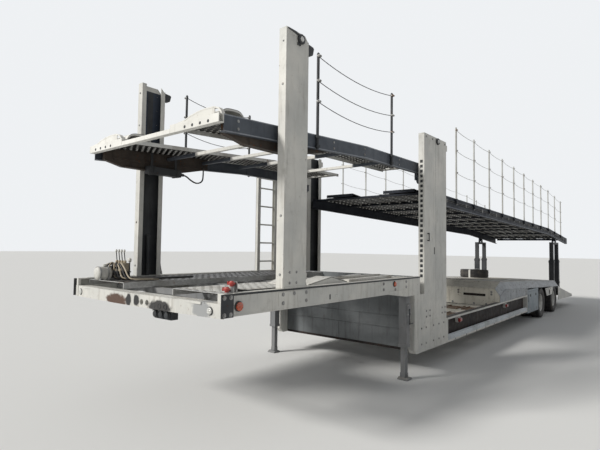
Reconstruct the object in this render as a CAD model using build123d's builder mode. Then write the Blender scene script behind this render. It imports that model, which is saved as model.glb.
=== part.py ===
from build123d import *
import math
import os

os.makedirs("parts", exist_ok=True)

# Car transporter semitrailer, in millimetres.
# +X runs forward to the coupling, +Y to the left side, +Z up. The ground is z = 0.
# The origin is on the ground, midway along and across the whole trailer.
# A "run" is a distance behind the foremost point, so x = nose - run.

# Whole trailer
overall_length = 15200
overall_width = 2550
plate = 8
running_gap = 10
seat_gap = 0.3
cut_margin = 20
half_width = overall_width / 2
nose = overall_length / 2

# Columns
column_depth = 90
column_corner_cut = 60
column_inner = half_width - column_depth
front_column_run = 757
front_column_width = 337
front_column_top = 3850
front_column_lip = 60
mid_column_run = 3792
mid_column_width = 800
mid_column_foot = 690
mid_column_top = 3446
mid_column_lip = 80
latch_hole = 43
latch_pitch = 72
latch_hole_count = 24
latch_first_height = 1350

# Gooseneck over the tractor
neck_start_run = 50
neck_top = 1370
neck_bottom = 1180
neck_flange = 80
neck_rail_spread = 520
neck_rail_width = 90
neck_rail_height = 55
neck_member_count = 4
neck_member_width = 90
neck_member_first_run = 500
bulkhead_setback = 142
bulkhead_rib = 50
sill_lead = 170
haunch_length = 250
haunch_slope_length = 480
haunch_bottom = 1120
bulkhead_run = mid_column_run - bulkhead_setback
sill_start_run = bulkhead_run - sill_lead
haunch_end_run = sill_start_run - haunch_length
haunch_start_run = haunch_end_run - haunch_slope_length

# Front beam across the nose
front_beam_bow = 40
front_beam_depth = 100
front_beam_top = 1290
front_beam_height = 120
beam_hole_radius = 28
beam_hole_offsets = (160, 250)
beam_hole_drop = 70

# Coupling
coupling_run = 1250
coupling_plate_length = 900
coupling_plate_width = 1120
coupling_plate_thickness = 12
kingpin_radius = 25.4
kingpin_head_radius = 35.7
kingpin_head_height = 18
kingpin_length = 84

# Wheel tracks and their slots
track_inner = 430
track_sheet = 6
track_fold = 40
track_sink = 12
slot_bridge = 80
slot_width = 120
slot_margin = 60

# Low bed between the gooseneck and the wheels
bed_bottom = 330
bed_side_bottom = 310
sill_depth = 100
sill_front_cut = 60
sill_rear_top = 700
sill_flange = 30
sill_pocket_lead = 68
ramp_reach = 958
bed_track_height = 616
bed_track_length = 2600
bed_rail_height = 120
bed_member_count = 5
bed_member_width = 90
track_outer = half_width - sill_depth - seat_gap
bed_track_start_run = mid_column_run + ramp_reach
bed_track_end_run = bed_track_start_run + bed_track_length

# Tail, measured forward from the rearmost point
bumper_depth = 80
bumper_height = 80
tail_lamp_width = 420
tail_lamp_height = 60
tail_lamp_depth = 20
tail_lamp_inset = 60
tail_ramp_length = 1800
tail_step_length = 300
tail_knee_height = 650
tail_end_height = 350
tail_front_bottom = 320
tail_end_bottom = 270
tail_end_run = overall_length - bumper_depth - tail_lamp_depth
tail_knee_run = tail_end_run - tail_ramp_length

# Deck over the wheels
raised_slope_length = 330
raised_plate_top = 970
raised_front_height = 1095
raised_rear_height = 880
raised_half_width = 1175
shoulder_drop = 150
shoulder_sheet = 12
rail_centre = 460
rail_width = 100
rail_bottom = 560
rail_rise_length = 250
bogie_member_count = 6
bogie_member_width = 60
bogie_member_height = 90
bogie_member_inset = 100
raised_front_run = bed_track_end_run + raised_slope_length
raised_rear_run = tail_knee_run - tail_step_length
deck_fall = (raised_front_height - raised_rear_height) / (raised_rear_run - raised_front_run)

# Wheels and axles; what repeats is many-sided to keep its facets few
axle_lead = 400
axle_spacing = 1520
tyre_radius = 390
tyre_width = 235
tyre_shoulder = 30
tyre_sides = 28
rim_radius = 222
rim_wall = 12
rim_sides = 20
rim_reach = 100
disc_thickness = 28
outer_tyre_centre = 1120
twin_spacing = 270
hub_radius = 100
stub_radius = 45
stub_clearance = 0.5
stub_inset = 20
axle_tube = 120
brake_radius = 190
brake_width = 150
inner_tyre_centre = outer_tyre_centre - twin_spacing
hub_middle = (outer_tyre_centre + inner_tyre_centre) / 2
drum_outer = inner_tyre_centre - tyre_width / 2 - seat_gap
axle_runs = (raised_rear_run - axle_lead - axle_spacing, raised_rear_run - axle_lead)

# Suspension
arm_front_reach = 480
arm_rear_reach = 285
arm_height = 60
hanger_width = 70
spring_radius = 110

# Mudguard plates between the wheels
guard_half_top = 500
guard_half_bottom = 325
guard_bottom = 540
guard_window = 120

# Side lockers ahead of the wheels
locker_gap = 520
locker_length = 1050
locker_width = 300
locker_bottom = 265
locker_frame = 40
locker_recess = 6
sill_end_gap = 30
locker_run = axle_runs[0] - locker_gap - locker_length
sill_end_run = locker_run - sill_end_gap

# Spare wheel lying on the raised deck
spare_lag = 120
spare_y = -560
spare_disc_height = 70

# Landing legs
leg_setback = 110
leg_centre = 1190
leg_outer = 110
leg_inner = 72
leg_shoe = 150
leg_shoe_thickness = 14
leg_outer_bottom = 430
leg_run = haunch_end_run + leg_setback

# Front upper deck
front_deck_half_width = 1130
front_deck_tip_run = 135
front_deck_tip_height = 2887
front_deck_bend_run = 2450
front_deck_bend_height = 3020
front_deck_overlap = 288
front_deck_rear_height = 3030
front_rail_depth = 150
front_rail_width = 60
front_keel_depth = 215
front_keel_start_run = 200
front_keel_full_run = 420
front_keel_taper_run = 1100
front_keel_end_run = 1700
front_cross_bar_runs = (1030, 1600, 2300, 3200)
front_cross_bar = 40
front_post_runs_left = (1420, 3050)
front_post_runs_right = (1420, 2630)
front_post_top = 3850
front_post_clip = 15
front_pin_height = 2790
nose_bar_depth = 60
nose_bar_height = 45
nose_end_height = 80
stop_inset = 20
stop_length = 300
stop_height = 70
stop_side_gap = 60
nose_bar_sink = nose_end_height - nose_bar_height
front_deck_rear_run = mid_column_run + front_deck_overlap
front_pin_run = mid_column_run + mid_column_width / 4

# Rear upper deck
rear_deck_half_width = 1150
rear_deck_setback = 508
rear_deck_front_height = 2655
rear_deck_flap_length = 2750
rear_deck_bend_height = 2407
rear_deck_tip_height = 2170
rear_rail_depth = 180
rear_rail_width = 60
rear_member_pitch = 1020
rear_member_width = 50
rear_member_depth = 70
rear_pin_height = 2085
guard_post_radius = 17
guard_post_first = 1000
guard_post_pitch = 880
guard_post_end_gap = 600
guard_post_front_height = 1230
guard_post_rear_height = 1060
rear_deck_front_run = mid_column_run + rear_deck_setback
rear_deck_bend_run = overall_length - rear_deck_flap_length

# Lifting carriages and posts
carriage_height = 300
carriage_side_gap = 14
shoe_height = 160
shoe_side_gap = 32
rear_shoe_side_gap = 45
arm_length = 120
pin_radius = 25
pin_clearance = 0.5
pin_boss = 20
bracket_thickness = 25
bracket_half_top = 150
bracket_half_foot = 70
bracket_foot_drop = 60
bracket_lap = 8
post_centre = 1100
post_lead = 230
post_spacing = 700
sleeve_width = 130
sleeve_wall = 10
sleeve_bottom = 400
sleeve_top = 1480
sleeve_collar = 40
rod_width = 100
rod_bottom = 980
head_bottom = 1950
head_height = 60
head_cheek = 20
cheek_gap = 5
post_runs = (tail_knee_run - post_lead, tail_knee_run - post_lead + post_spacing)
head_pin_run = sum(post_runs) / 2

# Ladder on the right-hand side
ladder_lead = 862
ladder_width = 450
ladder_top = 2900
ladder_rail = 60
ladder_first_rung = 152
rung_radius = 12
rung_pitch = 302

# Fittings on the gooseneck
valve_run = 480
valve_centre = 980
valve_length = 140
valve_width = 240
valve_height = 210
lever_count = 5
lever_pitch = 48
lever_radius = 7
lever_height = 160
knob_radius = 14
knob_height = 25
tank_run = 190
tank_centre = 990
tank_length = 180
tank_radius = 75
head_run = 160
head_centre = 1215
head_bracket_length = 100
head_bracket_width = 80
head_bracket_height = 60
head_spacing = 60
head_radius = 26
head_reach = 40

# Marker lamps on the gooseneck beams, as (run, z, radius, depth)
marker_lead = 897
marker_table = [(205, 1262, 42, 36), (mid_column_run - marker_lead, 1310, 28, 24)]

# Work lamps on the front columns' rear edges
lamp_drop = 60
lamp_height = 80
lamp_reach = 70
lamp_taper = 15
lamp_side_gap = 10

# Sides of round bars: kept few, because they repeat
post_sides = 6
barrel_sides = 12


def back(run):
    """The x of a point this far behind the foremost point."""
    return nose - run


def between(run, run_a, height_a, run_b, height_b):
    """The height at a run on the straight line between two points."""
    return height_a + (height_b - height_a) * (run - run_a) / (run_b - run_a)


def outline(points):
    """Corner points (run, z) as x and z."""
    return [(back(run), z) for run, z in points]


def ribbon(points, thickness):
    """The outline of a sheet or rail under a line of (run, z) points."""
    return outline(points) + outline([(run, z - thickness) for run, z in reversed(points)])


def slab(points, y_low, y_high, mode=Mode.ADD):
    """A side outline of x and z, as thick as y_low to y_high."""
    with BuildSketch(Plane.XZ.offset(-y_high)) as side:
        Polygon(*points, align=None)
    extrude(side.sketch, amount=y_high - y_low, mode=mode)


def block(run_a, run_b, y_low, y_high, z_low, z_high, mode=Mode.ADD):
    """A straight bar between two runs, two sides and two heights."""
    with BuildSketch(Plane.XY.offset(z_low)) as foot:
        with Locations((back((run_a + run_b) / 2), (y_low + y_high) / 2)):
            Rectangle(abs(run_b - run_a), y_high - y_low)
    extrude(foot.sketch, amount=z_high - z_low, mode=mode)


def slots(run_a, run_b, y_low, y_high, count_x, count_y, heights):
    """Rows of slots cut down through a sheet at these heights, with a bridge between one and the next."""
    pitch_x = (run_b - run_a) / count_x
    pitch_y = (y_high - y_low) / count_y
    with BuildSketch(Plane.XY.offset(min(heights) - cut_margin)) as grid:
        with Locations((back((run_a + run_b) / 2), (y_low + y_high) / 2)):
            with GridLocations(pitch_x, pitch_y, count_x, count_y):
                Rectangle(pitch_x - slot_bridge, slot_width)
    extrude(grid.sketch, amount=max(heights) - min(heights) + 2 * cut_margin, mode=Mode.SUBTRACT)


def pin(run, y_low, y_high, z, radius, mode=Mode.ADD):
    """A round bar across the trailer."""
    with BuildSketch(Plane.XZ.offset(-y_high)) as section:
        with Locations((back(run), z)):
            Circle(radius)
    extrude(section.sketch, amount=y_high - y_low, mode=mode)


def barrel(run, y_low, y_high, z, radius, sides, mode=Mode.ADD):
    """A many-sided bar across the trailer, with a flat side underneath."""
    with BuildSketch(Plane.XZ.offset(-y_high)) as section:
        with Locations((back(run), z)):
            RegularPolygon(radius, sides, major_radius=False, rotation=180 / sides)
    extrude(section.sketch, amount=y_high - y_low, mode=mode)


def upright(run, y, z_low, z_high, radius, sides):
    """A many-sided bar standing up."""
    with BuildSketch(Plane.XY.offset(z_low)) as section:
        with Locations((back(run), y)):
            RegularPolygon(radius, sides, major_radius=False)
    extrude(section.sketch, amount=z_high - z_low)


def save(part, name):
    """Label a node's solids and write them as one STEP file."""
    part.label = name
    export_step(part, f"parts/{name}.step")


def front_deck_height(run):
    """The top of the front deck's side rail."""
    if run < front_deck_bend_run:
        return between(run, front_deck_tip_run, front_deck_tip_height,
                       front_deck_bend_run, front_deck_bend_height)
    return between(run, front_deck_bend_run, front_deck_bend_height,
                   front_deck_rear_run, front_deck_rear_height)


def rear_deck_height(run):
    """The top of the rear deck's side rail."""
    if run < rear_deck_bend_run:
        return between(run, rear_deck_front_run, rear_deck_front_height,
                       rear_deck_bend_run, rear_deck_bend_height)
    return between(run, rear_deck_bend_run, rear_deck_bend_height,
                   overall_length, rear_deck_tip_height)


def raised_height(run):
    """The top of the deck over the wheels."""
    return between(run, raised_front_run, raised_front_height, raised_rear_run, raised_rear_height)


def tail_height(run):
    """The top of the tail ramp."""
    return between(run, tail_knee_run, tail_knee_height, tail_end_run, tail_end_height)


def sill_top(run):
    """The top of the low bed's side sills."""
    return between(run, mid_column_run + mid_column_width, mid_column_foot, sill_end_run, sill_rear_top)


# Gooseneck side beams: channels open inwards, deeper at the haunch over the legs
neck_side = [(neck_start_run, neck_bottom), (neck_start_run, neck_top), (bulkhead_run, neck_top),
             (bulkhead_run, haunch_bottom), (haunch_end_run, haunch_bottom), (haunch_start_run, neck_bottom)]
neck_hollow = [(neck_start_run + plate, neck_bottom + plate), (neck_start_run + plate, neck_top - plate),
               (bulkhead_run - plate, neck_top - plate), (bulkhead_run - plate, haunch_bottom + plate),
               (haunch_end_run, haunch_bottom + plate), (haunch_start_run, neck_bottom + plate)]
with BuildPart() as gooseneck_beams:
    slab(outline(neck_side), half_width - neck_flange, half_width)
    slab(outline(neck_hollow), half_width - neck_flange, half_width - plate, Mode.SUBTRACT)
    mirror(about=Plane.XZ)
save(gooseneck_beams.part, "gooseneck_beams")

# Front beam across the nose, slightly bowed forward, with two cable holes
beam_bottom = front_beam_top - front_beam_height
beam_seat_run = neck_start_run - seat_gap
beam_inner = half_width - neck_flange - seat_gap
with BuildPart() as front_beam:
    with BuildSketch(Plane.XY.offset(beam_bottom)):
        with BuildLine():
            front_edge = ThreePointArc((back(front_beam_bow), -half_width), (back(0), 0),
                                       (back(front_beam_bow), half_width))
            Polyline(front_edge @ 1, (back(beam_seat_run), half_width),
                     (back(beam_seat_run), -half_width), front_edge @ 0)
        make_face()
    extrude(amount=front_beam_height)
    block(beam_seat_run, neck_start_run + front_beam_depth, -beam_inner, beam_inner,
          beam_bottom, front_beam_top)
    block(beam_seat_run, neck_start_run + front_beam_depth - plate, plate - beam_inner, beam_inner - plate,
          beam_bottom + plate, front_beam_top - plate, Mode.SUBTRACT)
    with BuildSketch(Plane.YZ.offset(back(neck_start_run))):
        for offset_y in beam_hole_offsets:
            with Locations((offset_y, front_beam_top - beam_hole_drop)):
                Circle(beam_hole_radius)
    extrude(amount=neck_start_run, mode=Mode.SUBTRACT)
save(front_beam.part, "front_beam")

# Neck rails along the gooseneck, with cross members laid on them
neck_floor_run = neck_start_run + front_beam_depth + seat_gap
neck_side_y = half_width - neck_flange - seat_gap
neck_member_bottom = neck_bottom + neck_rail_height + seat_gap
neck_member_top = neck_member_bottom + neck_rail_height
with BuildPart() as neck_rails:
    block(neck_floor_run, bulkhead_run - seat_gap, neck_rail_spread - neck_rail_width / 2,
          neck_rail_spread + neck_rail_width / 2, neck_bottom, neck_bottom + neck_rail_height)
    mirror(about=Plane.XZ)
save(neck_rails.part, "neck_rails")

neck_member_last_run = haunch_end_run - neck_member_width
neck_member_pitch = (neck_member_last_run - neck_member_first_run) / (neck_member_count - 1)
with BuildPart() as neck_cross_members:
    for index in range(neck_member_count):
        run = neck_member_first_run + index * neck_member_pitch
        block(run, run + neck_member_width, -neck_side_y, neck_side_y, neck_member_bottom, neck_member_top)
save(neck_cross_members.part, "neck_cross_members")

# Coupling plate with the kingpin
coupling_face = neck_bottom - coupling_plate_thickness
with BuildPart() as coupling_plate:
    block(coupling_run - coupling_plate_length / 2, coupling_run + coupling_plate_length / 2,
          -coupling_plate_width / 2, coupling_plate_width / 2, coupling_face, neck_bottom)
    with BuildSketch(Plane.XY.offset(coupling_face - kingpin_length)) as waist:
        with Locations((back(coupling_run), 0)):
            Circle(kingpin_radius)
    extrude(waist.sketch, amount=kingpin_length)
    with BuildSketch(Plane.XY.offset(coupling_face - kingpin_length)) as head:
        with Locations((back(coupling_run), 0)):
            Circle(kingpin_head_radius)
    extrude(head.sketch, amount=kingpin_head_height)
save(coupling_plate.part, "coupling_plate")

# Gooseneck deck: two folded wheel tracks with slots
neck_track_top = neck_top - track_sink
with BuildPart() as gooseneck_deck:
    block(neck_floor_run, bulkhead_run - seat_gap, track_inner, neck_side_y,
          neck_track_top - track_sheet, neck_track_top)
    for fold_y in (track_inner, neck_side_y - track_sheet):
        block(neck_floor_run, bulkhead_run - seat_gap, fold_y, fold_y + track_sheet,
              neck_member_top, neck_track_top)
    slots(neck_floor_run + slot_margin, bulkhead_run - slot_margin, track_inner + slot_margin,
          neck_side_y - slot_margin, 6, 2, (neck_track_top,))
    mirror(about=Plane.XZ)
save(gooseneck_deck.part, "gooseneck_deck")


def guide_column(run, width, foot, top, lip, channels):
    """A folded guide: an outer plate, side walls and lips beside each slot that opens inwards."""
    channel_width = width / channels
    block(run, run + width, column_inner, half_width, foot, top)
    for index in range(channels):
        start = run + index * channel_width
        end = start + channel_width
        block(start + plate, end - plate, column_inner + plate, half_width - plate, foot, top, Mode.SUBTRACT)
        block(start + lip, end - lip, column_inner, column_inner + plate, foot, top, Mode.SUBTRACT)


# Front guide columns, with the rear top corner cut off
with BuildPart() as front_columns:
    guide_column(front_column_run, front_column_width, neck_top, front_column_top, front_column_lip, 1)
    corner_run = front_column_run + front_column_width
    slab(outline([(corner_run - column_corner_cut, front_column_top), (corner_run, front_column_top),
                  (corner_run, front_column_top - column_corner_cut)]),
         column_inner, half_width, Mode.SUBTRACT)
    mirror(about=Plane.XZ)
save(front_columns.part, "front_columns")

# Middle guide columns: one guide for each upper deck, latch holes up the front wall
latch_centre = half_width - column_depth / 2
with BuildPart() as mid_columns:
    guide_column(mid_column_run, mid_column_width, mid_column_foot, mid_column_top, mid_column_lip, 2)
    for index in range(latch_hole_count):
        hole_z = latch_first_height + index * latch_pitch
        block(mid_column_run - plate, mid_column_run + 2 * plate,
              latch_centre - latch_hole / 2, latch_centre + latch_hole / 2,
              hole_z, hole_z + latch_hole, Mode.SUBTRACT)
    mirror(about=Plane.XZ)
save(mid_columns.part, "mid_columns")

# Bulkhead that closes the front of the low bed
with BuildPart() as bulkhead:
    block(bulkhead_run, bulkhead_run + plate, -track_outer, track_outer, bed_bottom, neck_top)
    for rib_y in (-neck_rail_spread, 0, neck_rail_spread):
        block(bulkhead_run + plate, bulkhead_run + bulkhead_rib, rib_y - plate, rib_y + plate,
              bed_bottom, haunch_bottom)
save(bulkhead.part, "bulkhead")

# Low bed sills: flat where they carry the columns, then channels open outwards
sill_pocket_run = mid_column_run + mid_column_width + sill_pocket_lead
sill_side = [(sill_start_run + sill_front_cut, bed_side_bottom),
             (sill_start_run, bed_side_bottom + sill_front_cut),
             (sill_start_run, haunch_bottom), (mid_column_run, haunch_bottom),
             (mid_column_run, mid_column_foot), (mid_column_run + mid_column_width, mid_column_foot),
             (sill_end_run, sill_rear_top), (sill_end_run, bed_side_bottom)]
pocket_side = [(sill_pocket_run, bed_side_bottom + sill_flange),
               (sill_pocket_run, sill_top(sill_pocket_run) - sill_flange),
               (sill_end_run - sill_flange, sill_rear_top - sill_flange),
               (sill_end_run - sill_flange, bed_side_bottom + sill_flange)]
with BuildPart() as low_sills:
    slab(outline(sill_side), half_width - sill_depth, half_width)
    slab(outline(pocket_side), half_width - sill_depth + plate, half_width, Mode.SUBTRACT)
    mirror(about=Plane.XZ)
save(low_sills.part, "low_sills")

# Low bed wheel tracks: ramps down from the gooseneck, then level trays with folded edges
ramp_start_run = bulkhead_run + plate + seat_gap
ramp_line = [(ramp_start_run, neck_track_top), (bed_track_start_run, bed_track_height),
             (bed_track_end_run, bed_track_height)]
with BuildPart() as low_tracks:
    slab(ribbon(ramp_line, track_sheet), track_inner, track_outer)
    for fold_y in (track_inner, track_outer - track_sheet):
        slab(ribbon(ramp_line, track_fold), fold_y, fold_y + track_sheet)
    slots(bed_track_start_run + slot_margin, bed_track_end_run - slot_margin, track_inner + slot_margin,
          track_outer - slot_margin, 5, 2, (bed_track_height,))
    slots(ramp_start_run + slot_margin, bed_track_start_run - slot_margin, track_inner + slot_margin,
          track_outer - slot_margin, 2, 2, (bed_track_height, neck_track_top))
    mirror(about=Plane.XZ)
save(low_tracks.part, "low_tracks")

# Low bed rails and the cross members between them and the trays
bed_rail_top = bed_bottom + bed_rail_height
bed_rail_run = bulkhead_run + bulkhead_rib + seat_gap
with BuildPart() as low_rails:
    block(bed_rail_run, bed_track_end_run, rail_centre - rail_width / 2, rail_centre + rail_width / 2,
          bed_bottom, bed_rail_top)
    mirror(about=Plane.XZ)
save(low_rails.part, "low_rails")

bed_member_pitch = (bed_track_end_run - bed_member_width - bed_rail_run) / (bed_member_count - 1)
with BuildPart() as low_cross_members:
    for index in range(bed_member_count):
        run = bed_rail_run + index * bed_member_pitch
        block(run, run + bed_member_width, -track_outer, track_outer,
              bed_rail_top + seat_gap, bed_track_height - track_fold - seat_gap)
save(low_cross_members.part, "low_cross_members")

# Raised deck over the wheels: front plate, slotted top, shoulders that slope out and side plates
slope_run = bed_track_end_run + seat_gap
raised_line = [(slope_run, raised_plate_top), (raised_front_run, raised_front_height),
               (raised_rear_run, raised_rear_height)]
shoulder_foot = sill_top(slope_run) + seat_gap
shoulder_side = [(slope_run, shoulder_foot), (slope_run, raised_plate_top - shoulder_drop),
                 (raised_front_run, raised_front_height - shoulder_drop),
                 (locker_run, raised_height(locker_run) - shoulder_drop),
                 (locker_run, sill_rear_top + track_sheet)]
with BuildPart() as raised_deck:
    with BuildSketch(Plane.YZ.offset(back(slope_run + track_sheet))):
        Polygon((0, bed_track_height), (0, raised_plate_top), (raised_half_width, raised_plate_top),
                (half_width, raised_plate_top - shoulder_drop), (half_width, shoulder_foot),
                (track_outer, shoulder_foot), (track_outer, bed_track_height), align=None)
    extrude(amount=track_sheet)
    slab(ribbon(raised_line, track_sheet), 0, raised_half_width)
    for stretch in zip(raised_line, raised_line[1:]):
        for run, height in stretch:
            with BuildSketch(Plane.YZ.offset(back(run))):
                Polygon((raised_half_width, height), (half_width, height - shoulder_drop),
                        (half_width, height - shoulder_drop - shoulder_sheet),
                        (raised_half_width, height - shoulder_sheet), align=None)
        loft(ruled=True)
    slab(outline(shoulder_side), half_width - plate, half_width)
    slots(raised_front_run + slot_margin, raised_rear_run - slot_margin, track_inner,
          track_outer - slot_margin, 8, 2, (raised_front_height, raised_rear_height))
    mirror(about=Plane.XZ)
save(raised_deck.part, "raised_deck")

# Main rails under the raised deck and the tail
rail_drop = track_sheet + bogie_member_height + 2 * seat_gap + deck_fall * bogie_member_width
skin_drop = track_sheet + seat_gap
rail_side = [(slope_run, bed_bottom), (slope_run, bed_rail_top),
             (raised_front_run, raised_front_height - rail_drop),
             (raised_rear_run, raised_rear_height - rail_drop),
             (tail_knee_run, tail_knee_height - skin_drop), (tail_end_run, tail_end_height - skin_drop),
             (tail_end_run, tail_end_bottom + sill_flange), (tail_knee_run, tail_front_bottom + sill_flange),
             (raised_rear_run, rail_bottom), (raised_front_run + rail_rise_length, rail_bottom)]
with BuildPart() as main_rails:
    slab(outline(rail_side), rail_centre - rail_width / 2, rail_centre + rail_width / 2)
    mirror(about=Plane.XZ)
save(main_rails.part, "main_rails")

# Members that carry the raised deck on the main rails, wide ahead of the wheels
bogie_first_run = raised_front_run + bogie_member_inset
bogie_last_run = raised_rear_run - bogie_member_inset
bogie_pitch = (bogie_last_run - bogie_first_run) / (bogie_member_count - 1)
with BuildPart() as bogie_members:
    for index in range(bogie_member_count):
        run = bogie_first_run + index * bogie_pitch
        reach = track_outer if run + bogie_member_width < sill_end_run else rail_centre + rail_width / 2
        member_top = raised_height(run + bogie_member_width) - skin_drop
        block(run, run + bogie_member_width, -reach, reach, member_top - bogie_member_height, member_top)
save(bogie_members.part, "bogie_members")

# Tail members between the rails and out to the side plates
with BuildPart() as tail_members:
    for run in (post_runs[0] + sleeve_width, post_runs[1] + sleeve_width):
        member_top = tail_height(run + bogie_member_width) - skin_drop
        for y_low, y_high in ((plate - half_width, -rail_centre - rail_width / 2),
                              (rail_width / 2 - rail_centre, rail_centre - rail_width / 2),
                              (rail_centre + rail_width / 2, half_width - plate)):
            block(run, run + bogie_member_width, y_low + seat_gap, y_high - seat_gap,
                  member_top - bogie_member_height, member_top)
save(tail_members.part, "tail_members")

# Tail: side plates, ramp skin with slots and the rear bumper
tail_start_run = raised_rear_run + seat_gap
tail_line = [(tail_start_run, raised_rear_height), (tail_knee_run, tail_knee_height),
             (tail_end_run, tail_end_height)]
tail_side = [(tail_start_run, raised_rear_height - shoulder_drop), *tail_line[1:],
             (tail_end_run, tail_end_bottom), (tail_start_run, tail_front_bottom)]
sleeve_notch = sleeve_width / 2 + seat_gap
with BuildPart() as tail_frame:
    slab(outline(tail_side), half_width - plate, half_width)
    slab(ribbon(tail_line[:2], track_sheet), 0, raised_half_width)
    slab(ribbon(tail_line[1:], track_sheet), 0, half_width - plate)
    for run in post_runs:
        block(run - sleeve_notch, run + sleeve_notch, post_centre - sleeve_notch, post_centre + sleeve_notch,
              tail_end_bottom, raised_rear_height + plate, Mode.SUBTRACT)
    slots(tail_knee_run + slot_margin, tail_end_run - slot_margin, rail_centre + rail_width,
          post_centre - sleeve_width, 3, 1, (tail_end_height, tail_knee_height))
    mirror(about=Plane.XZ)
    block(tail_end_run, tail_end_run + bumper_depth, -half_width, half_width,
          tail_end_bottom, tail_end_bottom + bumper_height)
save(tail_frame.part, "tail_frame")

# Mudguard plates between the wheels, with a square opening
guard_run = sum(axle_runs) / 2
guard_top = raised_height(guard_run + guard_half_top) - shoulder_drop - shoulder_sheet - seat_gap
window_top = guard_top - guard_window / 2
with BuildPart() as mudguards:
    slab(outline([(guard_run - guard_half_top, guard_top), (guard_run + guard_half_top, guard_top),
                  (guard_run + guard_half_bottom, guard_bottom),
                  (guard_run - guard_half_bottom, guard_bottom)]),
         half_width - plate, half_width)
    block(guard_run - guard_window / 2, guard_run + guard_window / 2, half_width - 2 * plate,
          half_width + plate, window_top - guard_window, window_top, Mode.SUBTRACT)
    mirror(about=Plane.XZ)
save(mudguards.part, "mudguards")

# Side lockers with a recessed door
locker_top = raised_height(locker_run + locker_length) - shoulder_drop - shoulder_sheet - seat_gap
with BuildPart() as side_lockers:
    block(locker_run, locker_run + locker_length, half_width - locker_width, half_width,
          locker_bottom, locker_top)
    block(locker_run + locker_frame, locker_run + locker_length - locker_frame, half_width - locker_recess,
          half_width, locker_bottom + locker_frame, locker_top - locker_frame, Mode.SUBTRACT)
    mirror(about=Plane.XZ)
save(side_lockers.part, "side_lockers")

# Landing legs: outer tube, inner tube and foot
with BuildPart() as landing_legs:
    for width, z_low, z_high in ((leg_outer, leg_outer_bottom, haunch_bottom),
                                 (leg_inner, leg_shoe_thickness, leg_outer_bottom)):
        block(leg_run - width / 2, leg_run + width / 2, leg_centre - width / 2, leg_centre + width / 2,
              z_low, z_high)
    block(leg_run - leg_shoe / 2, leg_run + leg_shoe / 2, half_width - leg_shoe, half_width,
          0, leg_shoe_thickness)
    mirror(about=Plane.XZ)
save(landing_legs.part, "landing_legs")

# Axles: square tubes with round stub ends
stub_end = outer_tyre_centre - stub_inset
drum_inner = drum_outer - brake_width
with BuildPart() as axles:
    for run in axle_runs:
        block(run - axle_tube / 2, run + axle_tube / 2, -drum_inner, drum_inner,
              tyre_radius - axle_tube / 2, tyre_radius + axle_tube / 2)
        pin(run, -stub_end, stub_end, tyre_radius, stub_radius)
save(axles.part, "axles")

# Brake drums on the stubs, against the ends of the square tube
with BuildPart() as brake_drums:
    for run in axle_runs:
        barrel(run, drum_inner, drum_outer, tyre_radius, brake_radius, barrel_sides)
        barrel(run, drum_inner, drum_outer, tyre_radius, stub_radius + seat_gap, barrel_sides, Mode.SUBTRACT)
    mirror(about=Plane.XZ)
save(brake_drums.part, "brake_drums")

# Suspension: hangers, trailing arms under the axles, and air springs under the main rails
arm_top = tyre_radius - axle_tube / 2 - seat_gap
arm_bottom = arm_top - arm_height
arm_low = rail_centre - rail_width / 2
arm_high = rail_centre + rail_width / 2
hanger_top = rail_bottom - seat_gap
with BuildPart() as hangers:
    for axle_run in axle_runs:
        run = axle_run - arm_front_reach
        slab(outline([(run - hanger_width, hanger_top), (run + hanger_width, hanger_top),
                      (run + hanger_width / 2, arm_bottom), (run - hanger_width / 2, arm_bottom)]),
             arm_low, arm_high)
    mirror(about=Plane.XZ)
save(hangers.part, "hangers")

arm_front_gap = hanger_width / 2 * (1 + arm_height / (hanger_top - arm_bottom)) + seat_gap
with BuildPart() as trailing_arms:
    for axle_run in axle_runs:
        block(axle_run - arm_front_reach + arm_front_gap, axle_run + arm_rear_reach + spring_radius,
              arm_low, arm_high, arm_bottom, arm_top)
    mirror(about=Plane.XZ)
save(trailing_arms.part, "trailing_arms")

with BuildPart() as air_springs:
    for axle_run in axle_runs:
        upright(axle_run + arm_rear_reach, rail_centre, arm_top + seat_gap, hanger_top,
                spring_radius, barrel_sides)
    mirror(about=Plane.XZ)
save(air_springs.part, "air_springs")

# Wheels: each side of each axle has twin tyres on one hub
hub_inner = drum_outer + seat_gap
rim_seat = rim_radius - seat_gap
hub_cap_end = stub_end + stub_inset
for axle_name, axle_run in zip(("front", "rear"), axle_runs):
    with BuildPart() as tyres:
        for centre in (inner_tyre_centre, outer_tyre_centre):
            barrel(axle_run, centre - tyre_width / 2, centre + tyre_width / 2, tyre_radius,
                   tyre_radius, tyre_sides)
        chamfer(tyres.faces().filter_by(Axis.Y).edges(), tyre_shoulder)
        barrel(axle_run, hub_inner, outer_tyre_centre + tyre_width, tyre_radius, rim_radius, rim_sides,
               Mode.SUBTRACT)
    with BuildPart() as rims:
        barrel(axle_run, inner_tyre_centre - rim_reach, outer_tyre_centre + rim_reach, tyre_radius, rim_seat,
               rim_sides)
        for y_low, y_high in ((hub_middle + disc_thickness / 2, outer_tyre_centre + rim_reach),
                              (inner_tyre_centre - rim_reach, hub_middle - disc_thickness / 2)):
            barrel(axle_run, y_low, y_high, tyre_radius, rim_seat - rim_wall, rim_sides, Mode.SUBTRACT)
        barrel(axle_run, hub_inner, hub_cap_end, tyre_radius, hub_radius, barrel_sides)
        pin(axle_run, hub_inner, stub_end + stub_clearance, tyre_radius, stub_radius + stub_clearance,
            Mode.SUBTRACT)
    for node, name in ((tyres, "tyres"), (rims, "wheel")):
        save(node.part, f"{name}_{axle_name}_left")
        save(node.part.mirror(Plane.XZ), f"{name}_{axle_name}_right")

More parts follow.
